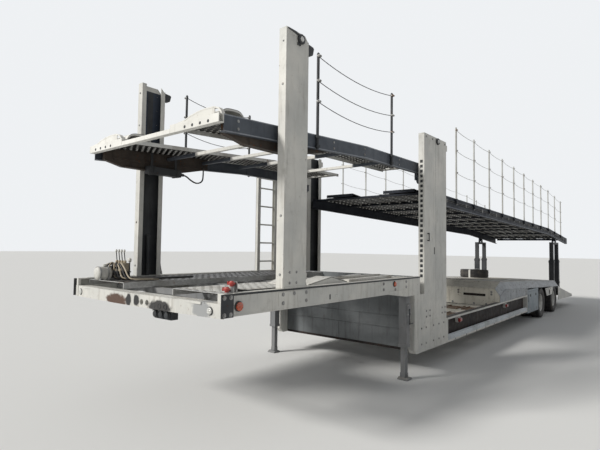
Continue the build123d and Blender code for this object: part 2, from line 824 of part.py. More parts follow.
# Spare wheel lying on the raised deck
spare_run = axle_runs[0] + spare_lag
spare_seat = Plane(origin=(back(spare_run), spare_y, raised_height(spare_run) + seat_gap),
                   x_dir=(1, 0, 0), z_dir=(0, 0, 1)).rotated((0, -math.degrees(math.atan(deck_fall)), 0))
with BuildPart() as spare_wheel:
    with BuildSketch(spare_seat):
        RegularPolygon(tyre_radius, tyre_sides, major_radius=False)
    extrude(amount=tyre_width)
    chamfer(spare_wheel.faces().sort_by(Axis.Z)[-1].edges(), tyre_shoulder)
    with BuildSketch(spare_seat):
        RegularPolygon(rim_radius - rim_wall, rim_sides, major_radius=False)
    extrude(amount=tyre_width, mode=Mode.SUBTRACT)
    with BuildSketch(spare_seat.offset(spare_disc_height)):
        RegularPolygon(rim_radius - rim_wall, rim_sides, major_radius=False)
        Circle(hub_radius, mode=Mode.SUBTRACT)
    extrude(amount=rim_wall)
save(spare_wheel.part, "spare_wheel")

# Sleeves of the rear lifting posts, let into the tail, with a collar at the top
with BuildPart() as post_sleeves:
    for run in post_runs:
        for width, z_low, z_high, mode in (
                (sleeve_width, sleeve_bottom, sleeve_top, Mode.ADD),
                (sleeve_width - 2 * sleeve_wall, sleeve_bottom, sleeve_top - sleeve_collar, Mode.SUBTRACT),
                (rod_width + 2 * seat_gap, sleeve_bottom, sleeve_top, Mode.SUBTRACT)):
            block(run - width / 2, run + width / 2, post_centre - width / 2, post_centre + width / 2,
                  z_low, z_high, mode)
    mirror(about=Plane.XZ)
save(post_sleeves.part, "post_sleeves")

# Rods of the rear lifting posts, joined by a head whose cheeks carry the deck's pin
rod_low = post_centre - rod_width / 2
rod_high = post_centre + rod_width / 2
head_top = head_bottom + head_height
with BuildPart() as lift_rods:
    for run in post_runs:
        block(run - rod_width / 2, run + rod_width / 2, rod_low, rod_high, rod_bottom, head_bottom)
    block(post_runs[0] - rod_width / 2, post_runs[1] + rod_width / 2, rod_low, rod_high,
          head_bottom, head_top)
    for cheek_y in (rod_low, rod_high - head_cheek):
        slab(outline([(head_pin_run - bracket_half_foot, head_top),
                      (head_pin_run - pin_radius - pin_boss, rear_pin_height + pin_radius + pin_boss),
                      (head_pin_run + pin_radius + pin_boss, rear_pin_height + pin_radius + pin_boss),
                      (head_pin_run + bracket_half_foot, head_top)]),
             cheek_y, cheek_y + head_cheek)
    pin(head_pin_run, rod_low, rod_high, rear_pin_height, pin_radius)
    mirror(about=Plane.XZ)
save(lift_rods.part, "lift_rods")

# Carriages in the middle columns that lift the front deck's rear end
front_guide_start = mid_column_run + plate
front_guide_end = mid_column_run + mid_column_width / 2 - plate
rear_guide_start = mid_column_run + mid_column_width / 2 + plate
rear_guide_end = mid_column_run + mid_column_width - plate
shoe_inner = column_inner + plate + running_gap
shoe_outer = half_width - plate - running_gap
bracket_low = front_deck_half_width - bracket_thickness
arm_face = column_inner - bracket_thickness - cheek_gap
with BuildPart() as front_deck_carriages:
    block(front_guide_start + carriage_side_gap, front_guide_end - carriage_side_gap,
          column_inner + plate + seat_gap, half_width - plate - seat_gap,
          front_pin_height - carriage_height / 2, front_pin_height + carriage_height / 2)
    block(front_pin_run - arm_length / 2, front_pin_run + arm_length / 2, arm_face, shoe_inner,
          front_pin_height - arm_length / 2, front_pin_height + arm_length / 2)
    pin(front_pin_run, bracket_low - running_gap, arm_face, front_pin_height, pin_radius)
    mirror(about=Plane.XZ)
save(front_deck_carriages.part, "front_deck_carriages")

# Front deck frame: side rails with a keel, nose bar, cross bars and rear brackets
front_rail_line = [(front_deck_tip_run, front_deck_tip_height),
                   (front_deck_bend_run, front_deck_bend_height),
                   (front_deck_rear_run, front_deck_rear_height)]
rail_inner = front_deck_half_width - front_rail_width
keel_inner = rail_inner - front_rail_width
keel_bottom = front_deck_height(front_keel_full_run) - front_keel_depth
keel_side = [(front_keel_start_run, front_deck_height(front_keel_start_run) - skin_drop),
             (front_keel_end_run, front_deck_height(front_keel_end_run) - skin_drop),
             (front_keel_end_run, front_deck_height(front_keel_end_run) - front_rail_depth),
             (front_keel_taper_run, keel_bottom), (front_keel_full_run, keel_bottom),
             (front_keel_start_run, front_deck_height(front_keel_start_run) - front_rail_depth)]
bracket_top = front_deck_height(front_pin_run) - front_rail_depth + bracket_lap
bracket_foot = front_pin_height - bracket_foot_drop
nose_run = front_deck_tip_run - nose_bar_depth
with BuildPart() as front_deck_frame:
    slab(ribbon(front_rail_line, front_rail_depth), rail_inner, front_deck_half_width)
    slab(outline(keel_side), keel_inner, rail_inner)
    slab(outline([(front_pin_run - bracket_half_top, bracket_top),
                  (front_pin_run - bracket_half_foot, bracket_foot),
                  (front_pin_run + bracket_half_foot, bracket_foot), (front_deck_rear_run, bracket_top)]),
         bracket_low, front_deck_half_width)
    pin(front_pin_run, bracket_low - plate, front_deck_half_width + plate, front_pin_height,
        pin_radius + pin_clearance, Mode.SUBTRACT)
    block(nose_run, front_deck_tip_run, track_inner, front_deck_half_width,
          front_deck_tip_height - nose_end_height, front_deck_tip_height)
    mirror(about=Plane.XZ)
    block(nose_run, front_deck_tip_run, -track_inner, track_inner,
          front_deck_tip_height - nose_bar_height - nose_bar_sink, front_deck_tip_height - nose_bar_sink)
    for run in front_cross_bar_runs:
        bar_top = front_deck_height(run) - skin_drop - track_fold
        block(run, run + front_cross_bar, -rail_inner, rail_inner, bar_top - front_cross_bar, bar_top)
save(front_deck_frame.part, "front_deck_frame")

# Front deck wheel tracks: folded, slotted sheets between rail and open centre
sheet_line = [(front_deck_tip_run + seat_gap, front_deck_tip_height)] + front_rail_line[1:]
sheet_outer = rail_inner - seat_gap
with BuildPart() as front_deck_tracks:
    slab(ribbon(sheet_line, track_sheet), track_inner, sheet_outer)
    slab(ribbon(sheet_line, track_fold), track_inner, track_inner + track_sheet)
    slots(front_deck_tip_run + slot_margin, front_deck_rear_run - slot_margin, track_inner + track_fold,
          keel_inner, 7, 2, (front_deck_tip_height, front_deck_bend_height, front_deck_rear_height))
    mirror(about=Plane.XZ)
save(front_deck_tracks.part, "front_deck_tracks")

# Shoes that steady the front deck in the front columns
front_shoe_run = front_column_run + front_column_width / 2
front_shoe_height = front_deck_height(front_shoe_run) - front_rail_depth / 2
with BuildPart() as front_deck_shoes:
    block(front_column_run + plate + shoe_side_gap,
          front_column_run + front_column_width - plate - shoe_side_gap, shoe_inner, shoe_outer,
          front_shoe_height - shoe_height / 2, front_shoe_height + shoe_height / 2)
    block(front_shoe_run - arm_length / 2, front_shoe_run + arm_length / 2, front_deck_half_width + seat_gap,
          shoe_inner, front_shoe_height - front_rail_depth / 2, front_shoe_height + front_rail_depth / 2)
    mirror(about=Plane.XZ)
save(front_deck_shoes.part, "front_deck_shoes")

# Wheel stops: arched caps at the front end of each track
stop_start_run = front_deck_tip_run + stop_inset
stop_end_run = stop_start_run + stop_length
with BuildPart() as wheel_stops:
    with BuildSketch(Plane.XZ.offset(stop_inset - sheet_outer)):
        with BuildLine():
            cap_start = (back(stop_start_run), front_deck_height(stop_start_run) + seat_gap)
            cap_end = (back(stop_end_run), front_deck_height(stop_end_run) + seat_gap)
            cap_crown = (back((stop_start_run + stop_end_run) / 2), cap_start[1] + stop_height)
            cap_arc = ThreePointArc(cap_start, cap_crown, cap_end)
            Line(cap_arc @ 1, cap_arc @ 0)
        make_face()
    extrude(amount=sheet_outer - track_inner - stop_side_gap)
    mirror(about=Plane.XZ)
save(wheel_stops.part, "wheel_stops")

# Guard posts of the front deck
with BuildPart() as front_deck_posts:
    for side, runs in ((1, front_post_runs_left), (-1, front_post_runs_right)):
        for run in runs:
            upright(run, side * (front_deck_half_width + seat_gap + guard_post_radius),
                    front_deck_height(run) - front_rail_depth - front_post_clip, front_post_top,
                    guard_post_radius, post_sides)
save(front_deck_posts.part, "front_deck_posts")

# Rear deck rails with the brackets that hang on the lifting posts
rear_rail_line = [(rear_deck_front_run, rear_deck_front_height), (rear_deck_bend_run, rear_deck_bend_height),
                  (overall_length, rear_deck_tip_height)]
rear_rail_inner = rear_deck_half_width - rear_rail_width
rear_bracket_half = rod_width / 2 - head_cheek - cheek_gap
rear_bracket_runs = (head_pin_run - bracket_half_top, head_pin_run + bracket_half_top)
bracket_drop = rear_rail_depth - bracket_lap
with BuildPart() as rear_deck_rails:
    slab(ribbon(rear_rail_line, rear_rail_depth), rear_rail_inner, rear_deck_half_width)
    slab(outline([(rear_bracket_runs[0], rear_deck_height(rear_bracket_runs[0]) - bracket_drop),
                  (head_pin_run - bracket_half_foot, rear_pin_height - pin_radius - pin_boss),
                  (head_pin_run + bracket_half_foot, rear_pin_height - pin_radius - pin_boss),
                  (rear_bracket_runs[1], rear_deck_height(rear_bracket_runs[1]) - bracket_drop)]),
         post_centre - rear_bracket_half, post_centre + rear_bracket_half)
    pin(head_pin_run, rod_low, rod_high, rear_pin_height, pin_radius + pin_clearance, Mode.SUBTRACT)
    mirror(about=Plane.XZ)
save(rear_deck_rails.part, "rear_deck_rails")

# Rear deck cross members between the rails, under the floor
member_count = math.floor((overall_length - rear_deck_front_run) / rear_member_pitch) + 1
with BuildPart() as rear_deck_members:
    for index in range(member_count):
        run = rear_deck_front_run + cut_margin + index * rear_member_pitch
        member_top = rear_deck_height(run + rear_member_width) - skin_drop
        block(run, run + rear_member_width, seat_gap - rear_rail_inner, rear_rail_inner - seat_gap,
              member_top - rear_member_depth, member_top)
save(rear_deck_members.part, "rear_deck_members")

# Rear deck floor: slotted sheets over the whole width
rear_sheet_outer = rear_rail_inner - seat_gap
with BuildPart() as rear_deck_plates:
    slab(ribbon(rear_rail_line, track_sheet), 0, rear_sheet_outer)
    slots(rear_deck_front_run + slot_margin, rear_deck_bend_run - slot_margin, slot_margin,
          rear_sheet_outer - slot_margin, 11, 2, (rear_deck_front_height, rear_deck_bend_height))
    slots(rear_deck_bend_run + slot_margin, overall_length - slot_margin, slot_margin,
          rear_sheet_outer - slot_margin, 3, 2, (rear_deck_bend_height, rear_deck_tip_height))
    mirror(about=Plane.XZ)
save(rear_deck_plates.part, "rear_deck_plates")

# Shoes that steady the rear deck in the middle columns
rear_shoe_run = (rear_guide_start + rear_guide_end) / 2
rear_shoe_height = rear_deck_height(rear_shoe_run) - rear_rail_depth / 2
with BuildPart() as rear_deck_shoes:
    block(rear_guide_start + rear_shoe_side_gap, rear_guide_end - rear_shoe_side_gap, shoe_inner, shoe_outer,
          rear_shoe_height - shoe_height / 2, rear_shoe_height + shoe_height / 2)
    block(rear_shoe_run - arm_length / 2, rear_shoe_run + arm_length / 2, rear_deck_half_width + seat_gap,
          shoe_inner, rear_shoe_height - arm_length / 2, rear_shoe_height + arm_length / 2)
    mirror(about=Plane.XZ)
save(rear_deck_shoes.part, "rear_deck_shoes")

# Guard posts of the rear deck, a little lower towards the rear
post_first_run = rear_deck_front_run + guard_post_first
post_last_run = overall_length - guard_post_end_gap
post_count = math.floor((post_last_run - post_first_run) / guard_post_pitch) + 1
with BuildPart() as rear_deck_posts:
    for index in range(post_count):
        run = post_first_run + index * guard_post_pitch
        rail_top = rear_deck_height(run)
        height = between(run, post_first_run, guard_post_front_height, post_last_run, guard_post_rear_height)
        upright(run, rear_deck_half_width + seat_gap + guard_post_radius, rail_top - rear_rail_depth / 2,
                rail_top + height, guard_post_radius, post_sides)
    mirror(about=Plane.XZ)
save(rear_deck_posts.part, "rear_deck_posts")

# Ladder on the right-hand gooseneck beam
ladder_run = mid_column_run - ladder_lead
rung_count = math.floor((ladder_top - neck_top - ladder_first_rung) / rung_pitch) + 1
with BuildPart() as ladder:
    for run in (ladder_run, ladder_run + ladder_width - ladder_rail):
        block(run, run + ladder_rail, -half_width, ladder_rail - half_width, neck_top, ladder_top)
    for index in range(rung_count):
        rung_z = neck_top + ladder_first_rung + index * rung_pitch
        with BuildSketch(Plane.YZ.offset(back(ladder_run + ladder_width - ladder_rail))) as rung:
            with Locations((ladder_rail / 2 - half_width, rung_z)):
                RegularPolygon(rung_radius, post_sides)
        extrude(rung.sketch, amount=ladder_width - 2 * ladder_rail)
save(ladder.part, "ladder")

# Valve bank with its levers, on the right-hand front corner
valve_top = neck_track_top + valve_height
lever_start = (valve_width - (lever_count - 1) * lever_pitch) / 2 - valve_centre - valve_width / 2
with BuildPart() as valve_bank:
    block(valve_run - valve_length / 2, valve_run + valve_length / 2, -valve_centre - valve_width / 2,
          valve_width / 2 - valve_centre, neck_track_top, valve_top)
    for index in range(lever_count):
        lever_y = lever_start + index * lever_pitch
        upright(valve_run, lever_y, valve_top, valve_top + lever_height, lever_radius, post_sides)
        upright(valve_run, lever_y, valve_top + lever_height, valve_top + lever_height + knob_height,
                knob_radius, post_sides)
save(valve_bank.part, "valve_bank")

# Hydraulic tank ahead of the valve bank, on a square foot
with BuildPart() as hydraulic_tank:
    with BuildSketch(Plane.YZ.offset(back(tank_run + tank_length))):
        with Locations((-tank_centre, neck_track_top + tank_radius)):
            Circle(tank_radius)
        with Locations((-tank_centre, neck_track_top + tank_radius / 2)):
            Rectangle(2 * tank_radius, tank_radius)
    extrude(amount=tank_length)
save(hydraulic_tank.part, "hydraulic_tank")

# Coupling heads for the air lines, on a bracket at the left front corner
with BuildPart() as coupling_heads:
    block(head_run - head_bracket_length / 2, head_run + head_bracket_length / 2,
          head_centre - head_bracket_width / 2, head_centre + head_bracket_width / 2,
          neck_top, neck_top + head_bracket_height)
    for run in (head_run - head_spacing / 2, head_run + head_spacing / 2):
        upright(run, head_centre, neck_top + head_bracket_height,
                neck_top + head_bracket_height + head_reach, head_radius, barrel_sides)
save(coupling_heads.part, "coupling_heads")

# Marker lamps
with BuildPart() as marker_lamps:
    for run, z, radius, depth in marker_table:
        barrel(run, half_width, half_width + depth, z, radius, barrel_sides)
    mirror(about=Plane.XZ)
save(marker_lamps.part, "marker_lamps")

# Tail lamps on the rear bumper
tail_lamp_z = tail_end_bottom + (bumper_height - tail_lamp_height) / 2
with BuildPart() as tail_lamps:
    block(overall_length - tail_lamp_depth, overall_length, half_width - tail_lamp_width - tail_lamp_inset,
          half_width - tail_lamp_inset, tail_lamp_z, tail_lamp_z + tail_lamp_height)
    mirror(about=Plane.XZ)
save(tail_lamps.part, "tail_lamps")

# Work lamps
lamp_run = front_column_run + front_column_width
lamp_top = front_column_top - column_corner_cut - lamp_drop
with BuildPart() as work_lamps:
    slab(outline([(lamp_run, lamp_top), (lamp_run + lamp_reach, lamp_top - lamp_taper),
                  (lamp_run + lamp_reach, lamp_top - lamp_height + lamp_taper),
                  (lamp_run, lamp_top - lamp_height)]),
         column_inner + lamp_side_gap, half_width - lamp_side_gap)
    mirror(about=Plane.XZ)
save(work_lamps.part, "work_lamps")
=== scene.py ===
"""Looks of a two-deck car transporter semitrailer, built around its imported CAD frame.

Every length is in metres. +X runs forward to the coupling, +Y to the left side and +Z up, with the origin on
the ground midway along and across. A "run" is a distance behind the foremost point of the trailer.
"""
from __future__ import annotations

import logging
import math
from dataclasses import dataclass, field
from enum import Enum
from typing import Any, Iterable, Sequence

import bmesh
import bpy
from mathutils import Matrix, Vector


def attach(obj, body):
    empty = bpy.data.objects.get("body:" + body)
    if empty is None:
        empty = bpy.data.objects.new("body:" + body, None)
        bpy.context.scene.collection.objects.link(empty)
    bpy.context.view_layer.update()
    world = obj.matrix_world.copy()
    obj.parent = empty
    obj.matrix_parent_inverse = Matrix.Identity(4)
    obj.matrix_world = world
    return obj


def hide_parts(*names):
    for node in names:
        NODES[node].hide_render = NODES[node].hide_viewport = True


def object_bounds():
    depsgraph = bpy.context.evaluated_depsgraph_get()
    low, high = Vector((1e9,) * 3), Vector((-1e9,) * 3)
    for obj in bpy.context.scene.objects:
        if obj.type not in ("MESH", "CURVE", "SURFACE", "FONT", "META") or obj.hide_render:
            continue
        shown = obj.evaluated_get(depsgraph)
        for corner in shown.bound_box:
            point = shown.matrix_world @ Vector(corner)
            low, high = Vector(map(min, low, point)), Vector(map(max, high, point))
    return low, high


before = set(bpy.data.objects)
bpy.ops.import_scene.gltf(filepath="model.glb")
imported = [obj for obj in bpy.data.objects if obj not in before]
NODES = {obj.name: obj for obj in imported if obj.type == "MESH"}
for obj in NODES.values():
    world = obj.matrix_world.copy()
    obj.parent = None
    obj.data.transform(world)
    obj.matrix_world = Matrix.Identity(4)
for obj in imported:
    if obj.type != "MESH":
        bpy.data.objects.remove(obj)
CAD_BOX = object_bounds()
NOSE = CAD_BOX[1].x
HALF_WIDTH = 1.275
FACE = 1.2745  # just inside the outer face of columns, beams and sills, so that a part on it is rooted
BOLT_FACE = 1.2755
AXLE_RUNS = (11.08, 12.6)
RAISED_LINE = ((7.68, 1.095), (13.0, 0.88))
RAISED_FALL = (RAISED_LINE[0][1] - RAISED_LINE[1][1]) / (RAISED_LINE[1][0] - RAISED_LINE[0][0])
TAU = 2 * math.pi
TIP = 0.0001  # the radius at which a turned outline ends on its axis
AHEAD, LEFT, UP = (1, 0, 0), (0, 1, 0), (0, 0, 1)
SIDES = (1, -1)
LAMP_BODY = ((TIP, 0.0), (0.047, 0.0), (0.05, 0.006), (0.05, 0.021), (0.045, 0.026), (0.03, 0.026),
    (0.028, 0.018), (TIP, 0.018))
LAMP_LENS = ((0.027, 0.0178), (0.026, 0.026), (0.018, 0.031), (TIP, 0.033))
Point = tuple[float, float, float]
Flat = tuple[float, float]
Colour = tuple[float, float, float]
Spot = tuple[Vector, Point]
log = logging.getLogger("transporter")


def at(run: float, y: float, z: float) -> Vector:
    """The point this far behind the nose, to the left and above the ground."""
    return Vector((NOSE - run, y, z))


def between(run: float, line: Sequence[Flat]) -> float:
    """The height at a run on a line of (run, height) points.

    Args:
        run: The run, behind the nose.
        line: The line's points.

    Returns:
        The height there.
    """
    for (run_a, z_a), (run_b, z_b) in zip(line, line[1:]):
        if run <= run_b or (run_b, z_b) == line[-1]:
            return z_a + (z_b - z_a) * (run - run_a) / (run_b - run_a)
    return line[-1][1]


def box(low: Flat, high: Flat, inset: float = 0.0) -> list[Flat]:
    """The corners of a rectangle, moved in by an inset."""
    (u_low, v_low), (u_high, v_high) = ((c + inset for c in low), (c - inset for c in high))
    return [(u_low, v_low), (u_high, v_low), (u_high, v_high), (u_low, v_high)]


def studs(runs: Iterable[float], sides: Iterable[float], heights: Iterable[float],
        way: Point = LEFT) -> list[Spot]:
    """A bolt's place and facing at each crossing of these runs, sides and heights."""
    return [(at(run, y, z), way) for run in runs for y in sides for z in heights]


def mirrored_spots(spots: Sequence[Spot]) -> list[Spot]:
    """The spots and the same ones on the other side of the trailer."""
    return [*spots, *((Vector((p.x, -p.y, p.z)), (way[0], -way[1], way[2])) for p, way in spots)]


class Slot(Enum):
    """The record's material slots."""

    WHITE = "weathered_white_paint"
    GREY = "grey_frame_paint"
    DECK = "galvanised_deck"
    DARK = "dark_steel"
    RUBBER = "tyre_rubber"
    WHEEL = "wheel_silver"
    RED = "red_plastic"
    ORANGE = "orange_lens"
    RED_LENS = "red_lens"


class Nodes:
    """A node tree, with one short way to add a node to it."""

    prefix = ""

    def __init__(self, tree: bpy.types.NodeTree, given: Any = None) -> None:
        """Work on a tree, whose own inputs are given by name if it has any."""
        self.tree = tree
        self.given = given

    def node(self, kind: str, inputs: dict[Any, Any], **settings: Any) -> bpy.types.Node:
        """Add a node.

        Args:
            kind: The node's type, without the tree's prefix.
            inputs: A value, an output socket or the name of a given input for each input.
            settings: The node's own settings.

        Returns:
            The new node.
        """
        made = self.tree.nodes.new(self.prefix + kind)
        for key, value in settings.items():
            setattr(made, key, value)
        for key, value in inputs.items():
            source = self.given[value] if isinstance(value, str) else value
            if isinstance(source, bpy.types.NodeSocket):
                self.tree.links.new(source, made.inputs[key])
            else:
                made.inputs[key].default_value = source
        return made


class Graph(Nodes):
    """A material's node tree, with the few moves that the finishes here need."""

    prefix = "ShaderNode"

    def __init__(self, name: str, **shader: Any) -> None:
        """Start a material from its Principled shader, with some of the shader's inputs set.

        Args:
            name: The material's name.
            shader: A value for each named input, with _ for a space.
        """
        self.material = bpy.data.materials.new(name)
        self.material.use_nodes = True
        super().__init__(self.material.node_tree)
        self.shader = self.tree.nodes["Principled BSDF"]
        for label, value in shader.items():
            self.shader.inputs[label.replace("_", " ")].default_value = value
        self.place = self.tree.nodes.new("ShaderNodeTexCoord").outputs["Object"]

    def noise(self, scale: float, stretch: Point = (1, 1, 1), detail: float = 5, rough: float = 0.6) -> Any:
        """Clouds of this many lumps a metre, drawn out by the stretch along each axis.

        Args:
            scale: How fine the clouds are.
            stretch: The scale along each axis.
            detail: How many finer layers there are.
            rough: How strong the finer layers are.

        Returns:
            The clouds' socket, from 0 to 1.
        """
        spread = self.node("Mapping", {"Vector": self.place, "Scale": stretch})
        cloud = self.node("TexNoise", {"Vector": spread.outputs[0], "Scale": scale, "Detail": detail,
                "Roughness": rough})
        return cloud.outputs[0]

    def step(self, source: Any, low: float, high: float, top: float = 1.0) -> Any:
        """A smooth rise from 0 at low to the top value at high."""
        return self.span(source, (0.0, top), low, high, "SMOOTHSTEP")

    def span(self, source: Any, ends: Flat, low: float = 0.0, high: float = 1.0, way: str = "LINEAR") -> Any:
        """A value that goes from one end to the other while the source goes from low to high.

        Args:
            source: The socket that is followed.
            ends: The value at low and the value at high.
            low: Where the change starts.
            high: Where it ends.
            way: The kind of blend.

        Returns:
            The value's socket.
        """
        mapped = self.node("MapRange", {0: source, 1: low, 2: high, 3: ends[0], 4: ends[1]},
            interpolation_type=way)
        return mapped.outputs[0]

    def sum(self, operation: str, first: Any, second: Any) -> Any:
        """The outcome of a Math node on two values."""
        return self.node("Math", {0: first, 1: second}, operation=operation).outputs[0]

    def mix(self, share: Any, first: Any, second: Any) -> Any:
        """A colour between two, by a share."""
        colours = [(*c, 1.0) if isinstance(c, tuple) else c for c in (first, second)]
        return self.node("MixRGB", {0: share, 1: colours[0], 2: colours[1]}).outputs[0]

    def facing(self, way: float) -> Any:
        """How much the surface faces up, or down for a way of -1, from 0 to 1."""
        normal = self.node("SeparateXYZ", {0: self.node("NewGeometry", {}).outputs["Normal"]})
        return self.step(self.sum("MULTIPLY", normal.outputs[2], way), 0.35, 0.9)

    def near(self, centre: Point, reach: Point) -> Any:
        """A share that falls from 1 at a centre to 0 at a reach along each axis.

        Args:
            centre: The middle of the place.
            reach: Its half sizes.

        Returns:
            The share's socket.
        """
        moved = self.node("VectorMath", {0: self.place, 1: tuple(centre)}, operation="SUBTRACT")
        scaled = self.node("VectorMath", {0: moved.outputs[0], 1: tuple(1 / r for r in reach)},
            operation="MULTIPLY")
        length = self.node("VectorMath", {0: scaled.outputs[0]}, operation="LENGTH")
        return self.sum("SUBTRACT", 1.0, length.outputs["Value"])

    def finish(self, colour: Any, roughness: Any, height: Any, depth: float) -> bpy.types.Material:
        """Wire the shader.

        Args:
            colour: The colour's socket.
            roughness: The roughness's socket.
            height: The socket that the bump follows.
            depth: How deep the bump is.

        Returns:
            The finished material.
        """
        bump = self.node("Bump", {"Strength": 1.0, "Distance": depth, "Height": height})
        self.tree.links.new(colour, self.shader.inputs["Base Color"])
        self.tree.links.new(roughness, self.shader.inputs["Roughness"])
        self.tree.links.new(bump.outputs[0], self.shader.inputs["Normal"])
        return self.material


@dataclass(frozen=True)
class Patch:
    """A place of another colour, used for stains and for painted shade: its centre, its reach along each
    axis, its colour and how solid it is.
    """

    centre: Point
    reach: Point
    colour: Colour
    strength: float = 1.0


@dataclass(frozen=True)
class Paint:
    """Weathered paint on steel: a faded coat, rain streaks, grime, dust on top, and chips that show rust."""

    name: str
    slot: Slot
    coat: Colour
    faded: Colour
    grime: Colour
    rust: Colour = (0.13, 0.055, 0.025)
    dust: Colour = (0.36, 0.33, 0.28)
    streaks: float = 0.5
    chips: float = 0.3
    dusty: float = 0.35
    gloss: Flat = (0.42, 0.68)
    shine: float = 0.5
    patches: tuple[Patch, ...] = ()

    def material(self) -> bpy.types.Material:
        """Build the material's node tree.

        Returns:
            The finished material.
        """
        graph = Graph(self.name, Specular_IOR_Level=self.shine)
        colour = graph.mix(graph.step(graph.noise(1.7), 0.32, 0.68), self.coat, self.faded)
        run_off = graph.step(graph.noise(3.0, (5.5, 5.5, 0.7)), 0.5, 0.74, self.streaks)
        colour = graph.mix(run_off, colour, self.grime)
        smudge = graph.step(graph.noise(9.0), 0.55, 0.8, self.streaks * 0.7)
        colour = graph.mix(smudge, colour, self.grime)
        settled = graph.sum("MULTIPLY", graph.facing(1.0),
            graph.step(graph.noise(5.0), 0.25, 0.7, self.dusty))
        colour = graph.mix(settled, colour, self.dust)
        chip_field = graph.noise(22.0, detail=8, rough=0.7)
        chipped = graph.step(chip_field, 0.72 - 0.14 * self.chips, 0.75 - 0.14 * self.chips)
        halo = graph.step(chip_field, 0.64 - 0.14 * self.chips, 0.74 - 0.14 * self.chips, 0.35)
        colour = graph.mix(halo, colour, tuple(0.5 * (g + r) for g, r in zip(self.grime, self.rust)))
        colour = graph.mix(chipped, colour, self.rust)
        edge = graph.noise(14.0, detail=6)
        for patch in self.patches:
            field_value = graph.sum("ADD", graph.near(patch.centre, patch.reach),
                graph.sum("MULTIPLY", graph.sum("SUBTRACT", edge, 0.5), 0.9))
            colour = graph.mix(graph.step(field_value, 0.12, 0.4, patch.strength), colour, patch.colour)
        fine = graph.noise(160.0, detail=3)
        rough = graph.span(graph.noise(11.0), self.gloss, 0.3, 0.7)
        rough = graph.sum("MAXIMUM", rough, graph.sum("MULTIPLY", chipped, 0.85))
        height = graph.sum("SUBTRACT", graph.sum("MULTIPLY", fine, 0.25), chipped)
        return graph.finish(colour, rough, height, 0.0012)


@dataclass(frozen=True)
class Galvanised:
    """Zinc-coated sheet: spangle flakes, dull wear, dirt in patches, rust that starts at the edges, and
    painted shade on faces that turn down.
    """

    name: str
    slot: Slot
    bright: Colour
    dull: Colour
    dirt: Colour
    rust: Colour = (0.16, 0.075, 0.035)
    metal: float = 0.45
    soiled: float = 0.6
    rusty: float = 0.35
    gloss: Flat = (0.38, 0.66)
    shine: float = 0.5
    underside_shade: float = 1.0

    def material(self) -> bpy.types.Material:
        """Build the material's node tree.

        Returns:
            The finished material.
        """
        graph = Graph(self.name, Metallic=self.metal, Specular_IOR_Level=self.shine)
        flakes = graph.node("TexVoronoi", {"Vector": graph.place, "Scale": 55.0})
        tone = graph.node("SeparateXYZ", {0: flakes.outputs["Color"]}).outputs[0]
        colour = graph.mix(graph.sum("MULTIPLY", tone, 0.6), self.bright, self.dull)
        colour = graph.mix(graph.step(graph.noise(2.2), 0.4, 0.7, self.soiled), colour, self.dirt)
        colour = graph.mix(graph.step(graph.noise(16.0), 0.55, 0.75, self.soiled * 0.6), colour, self.dirt)
        rust_field = graph.noise(4.5, detail=9, rough=0.72)
        rusted = graph.step(rust_field, 0.66 - 0.12 * self.rusty, 0.74 - 0.12 * self.rusty)
        colour = graph.mix(rusted, colour, self.rust)
        # Painted shade: faces that turn down are darkened by the underside shade factor.
        shadowed = graph.node("MixRGB", {0: 1.0, 1: colour, 2: (self.underside_shade, self.underside_shade, self.underside_shade, 1.0)},
            blend_type="MULTIPLY").outputs[0]
        colour = graph.mix(graph.facing(-1.0), colour, shadowed)
        rough = graph.sum("ADD", graph.noise(8.0), graph.sum("MULTIPLY", tone, 0.1))
        rough = graph.span(rough, self.gloss, 0.3, 0.8)
        rough = graph.sum("MAXIMUM", rough, graph.sum("MULTIPLY", rusted, 0.9))
        height = graph.sum("ADD", graph.sum("MULTIPLY", graph.noise(120.0), 0.4), rusted)
        return graph.finish(colour, rough, height, 0.0008)


@dataclass(frozen=True)
class Rubber:
    """Black rubber with dust, scuffs and a fine grain."""

    name: str
    slot: Slot
    coat: Colour
    dust: Colour = (0.15, 0.135, 0.115)
    dusty: float = 0.55
    gloss: Flat = (0.62, 0.9)

    def material(self) -> bpy.types.Material:
        """Build the material's node tree.

        Returns:
            The finished material.
        """
        graph = Graph(self.name, Specular_IOR_Level=0.35)
        dusted = graph.step(graph.noise(7.0), 0.4, 0.75, self.dusty)
        colour = graph.mix(dusted, self.coat, self.dust)
        scuff = graph.step(graph.noise(40.0, (1, 1, 0.3)), 0.62, 0.7, 0.4)
        colour = graph.mix(scuff, colour, tuple(2.2 * c for c in self.coat))
        return graph.finish(colour, graph.span(dusted, self.gloss), graph.noise(190.0), 0.0006)


@dataclass(frozen=True)
class Lens:
    """A moulded lamp lens: glossy plastic with prism ribs, darker stripes along the ribs as painted shading,
    a little haze and road dirt.
    """

    name: str
    slot: Slot
    coat: Colour
    pitch: float = 110.0
    clearness: float = 0.25

    def material(self) -> bpy.types.Material:
        """Build the material's node tree.

        Returns:
            The finished material.
        """
        graph = Graph(self.name, Coat_Weight=0.7, Coat_Roughness=0.06, Transmission_Weight=self.clearness)
        ribs = graph.node("TexWave", {"Vector": graph.place, "Scale": self.pitch / 6.0, "Distortion": 0.0},
            bands_direction="Z")
        dirt = graph.step(graph.noise(30.0), 0.5, 0.8, 0.45)
        # Painted shading: the colour darkens in stripes along the prism ribs.
        rib_shade = graph.mix(graph.sum("MULTIPLY", ribs.outputs["Fac"], 0.5), self.coat,
            tuple(0.55 * c for c in self.coat))
        colour = graph.mix(dirt, rib_shade, (0.2, 0.17, 0.14))
        return graph.finish(colour, graph.span(dirt, (0.12, 0.5)), ribs.outputs["Fac"], 0.002)


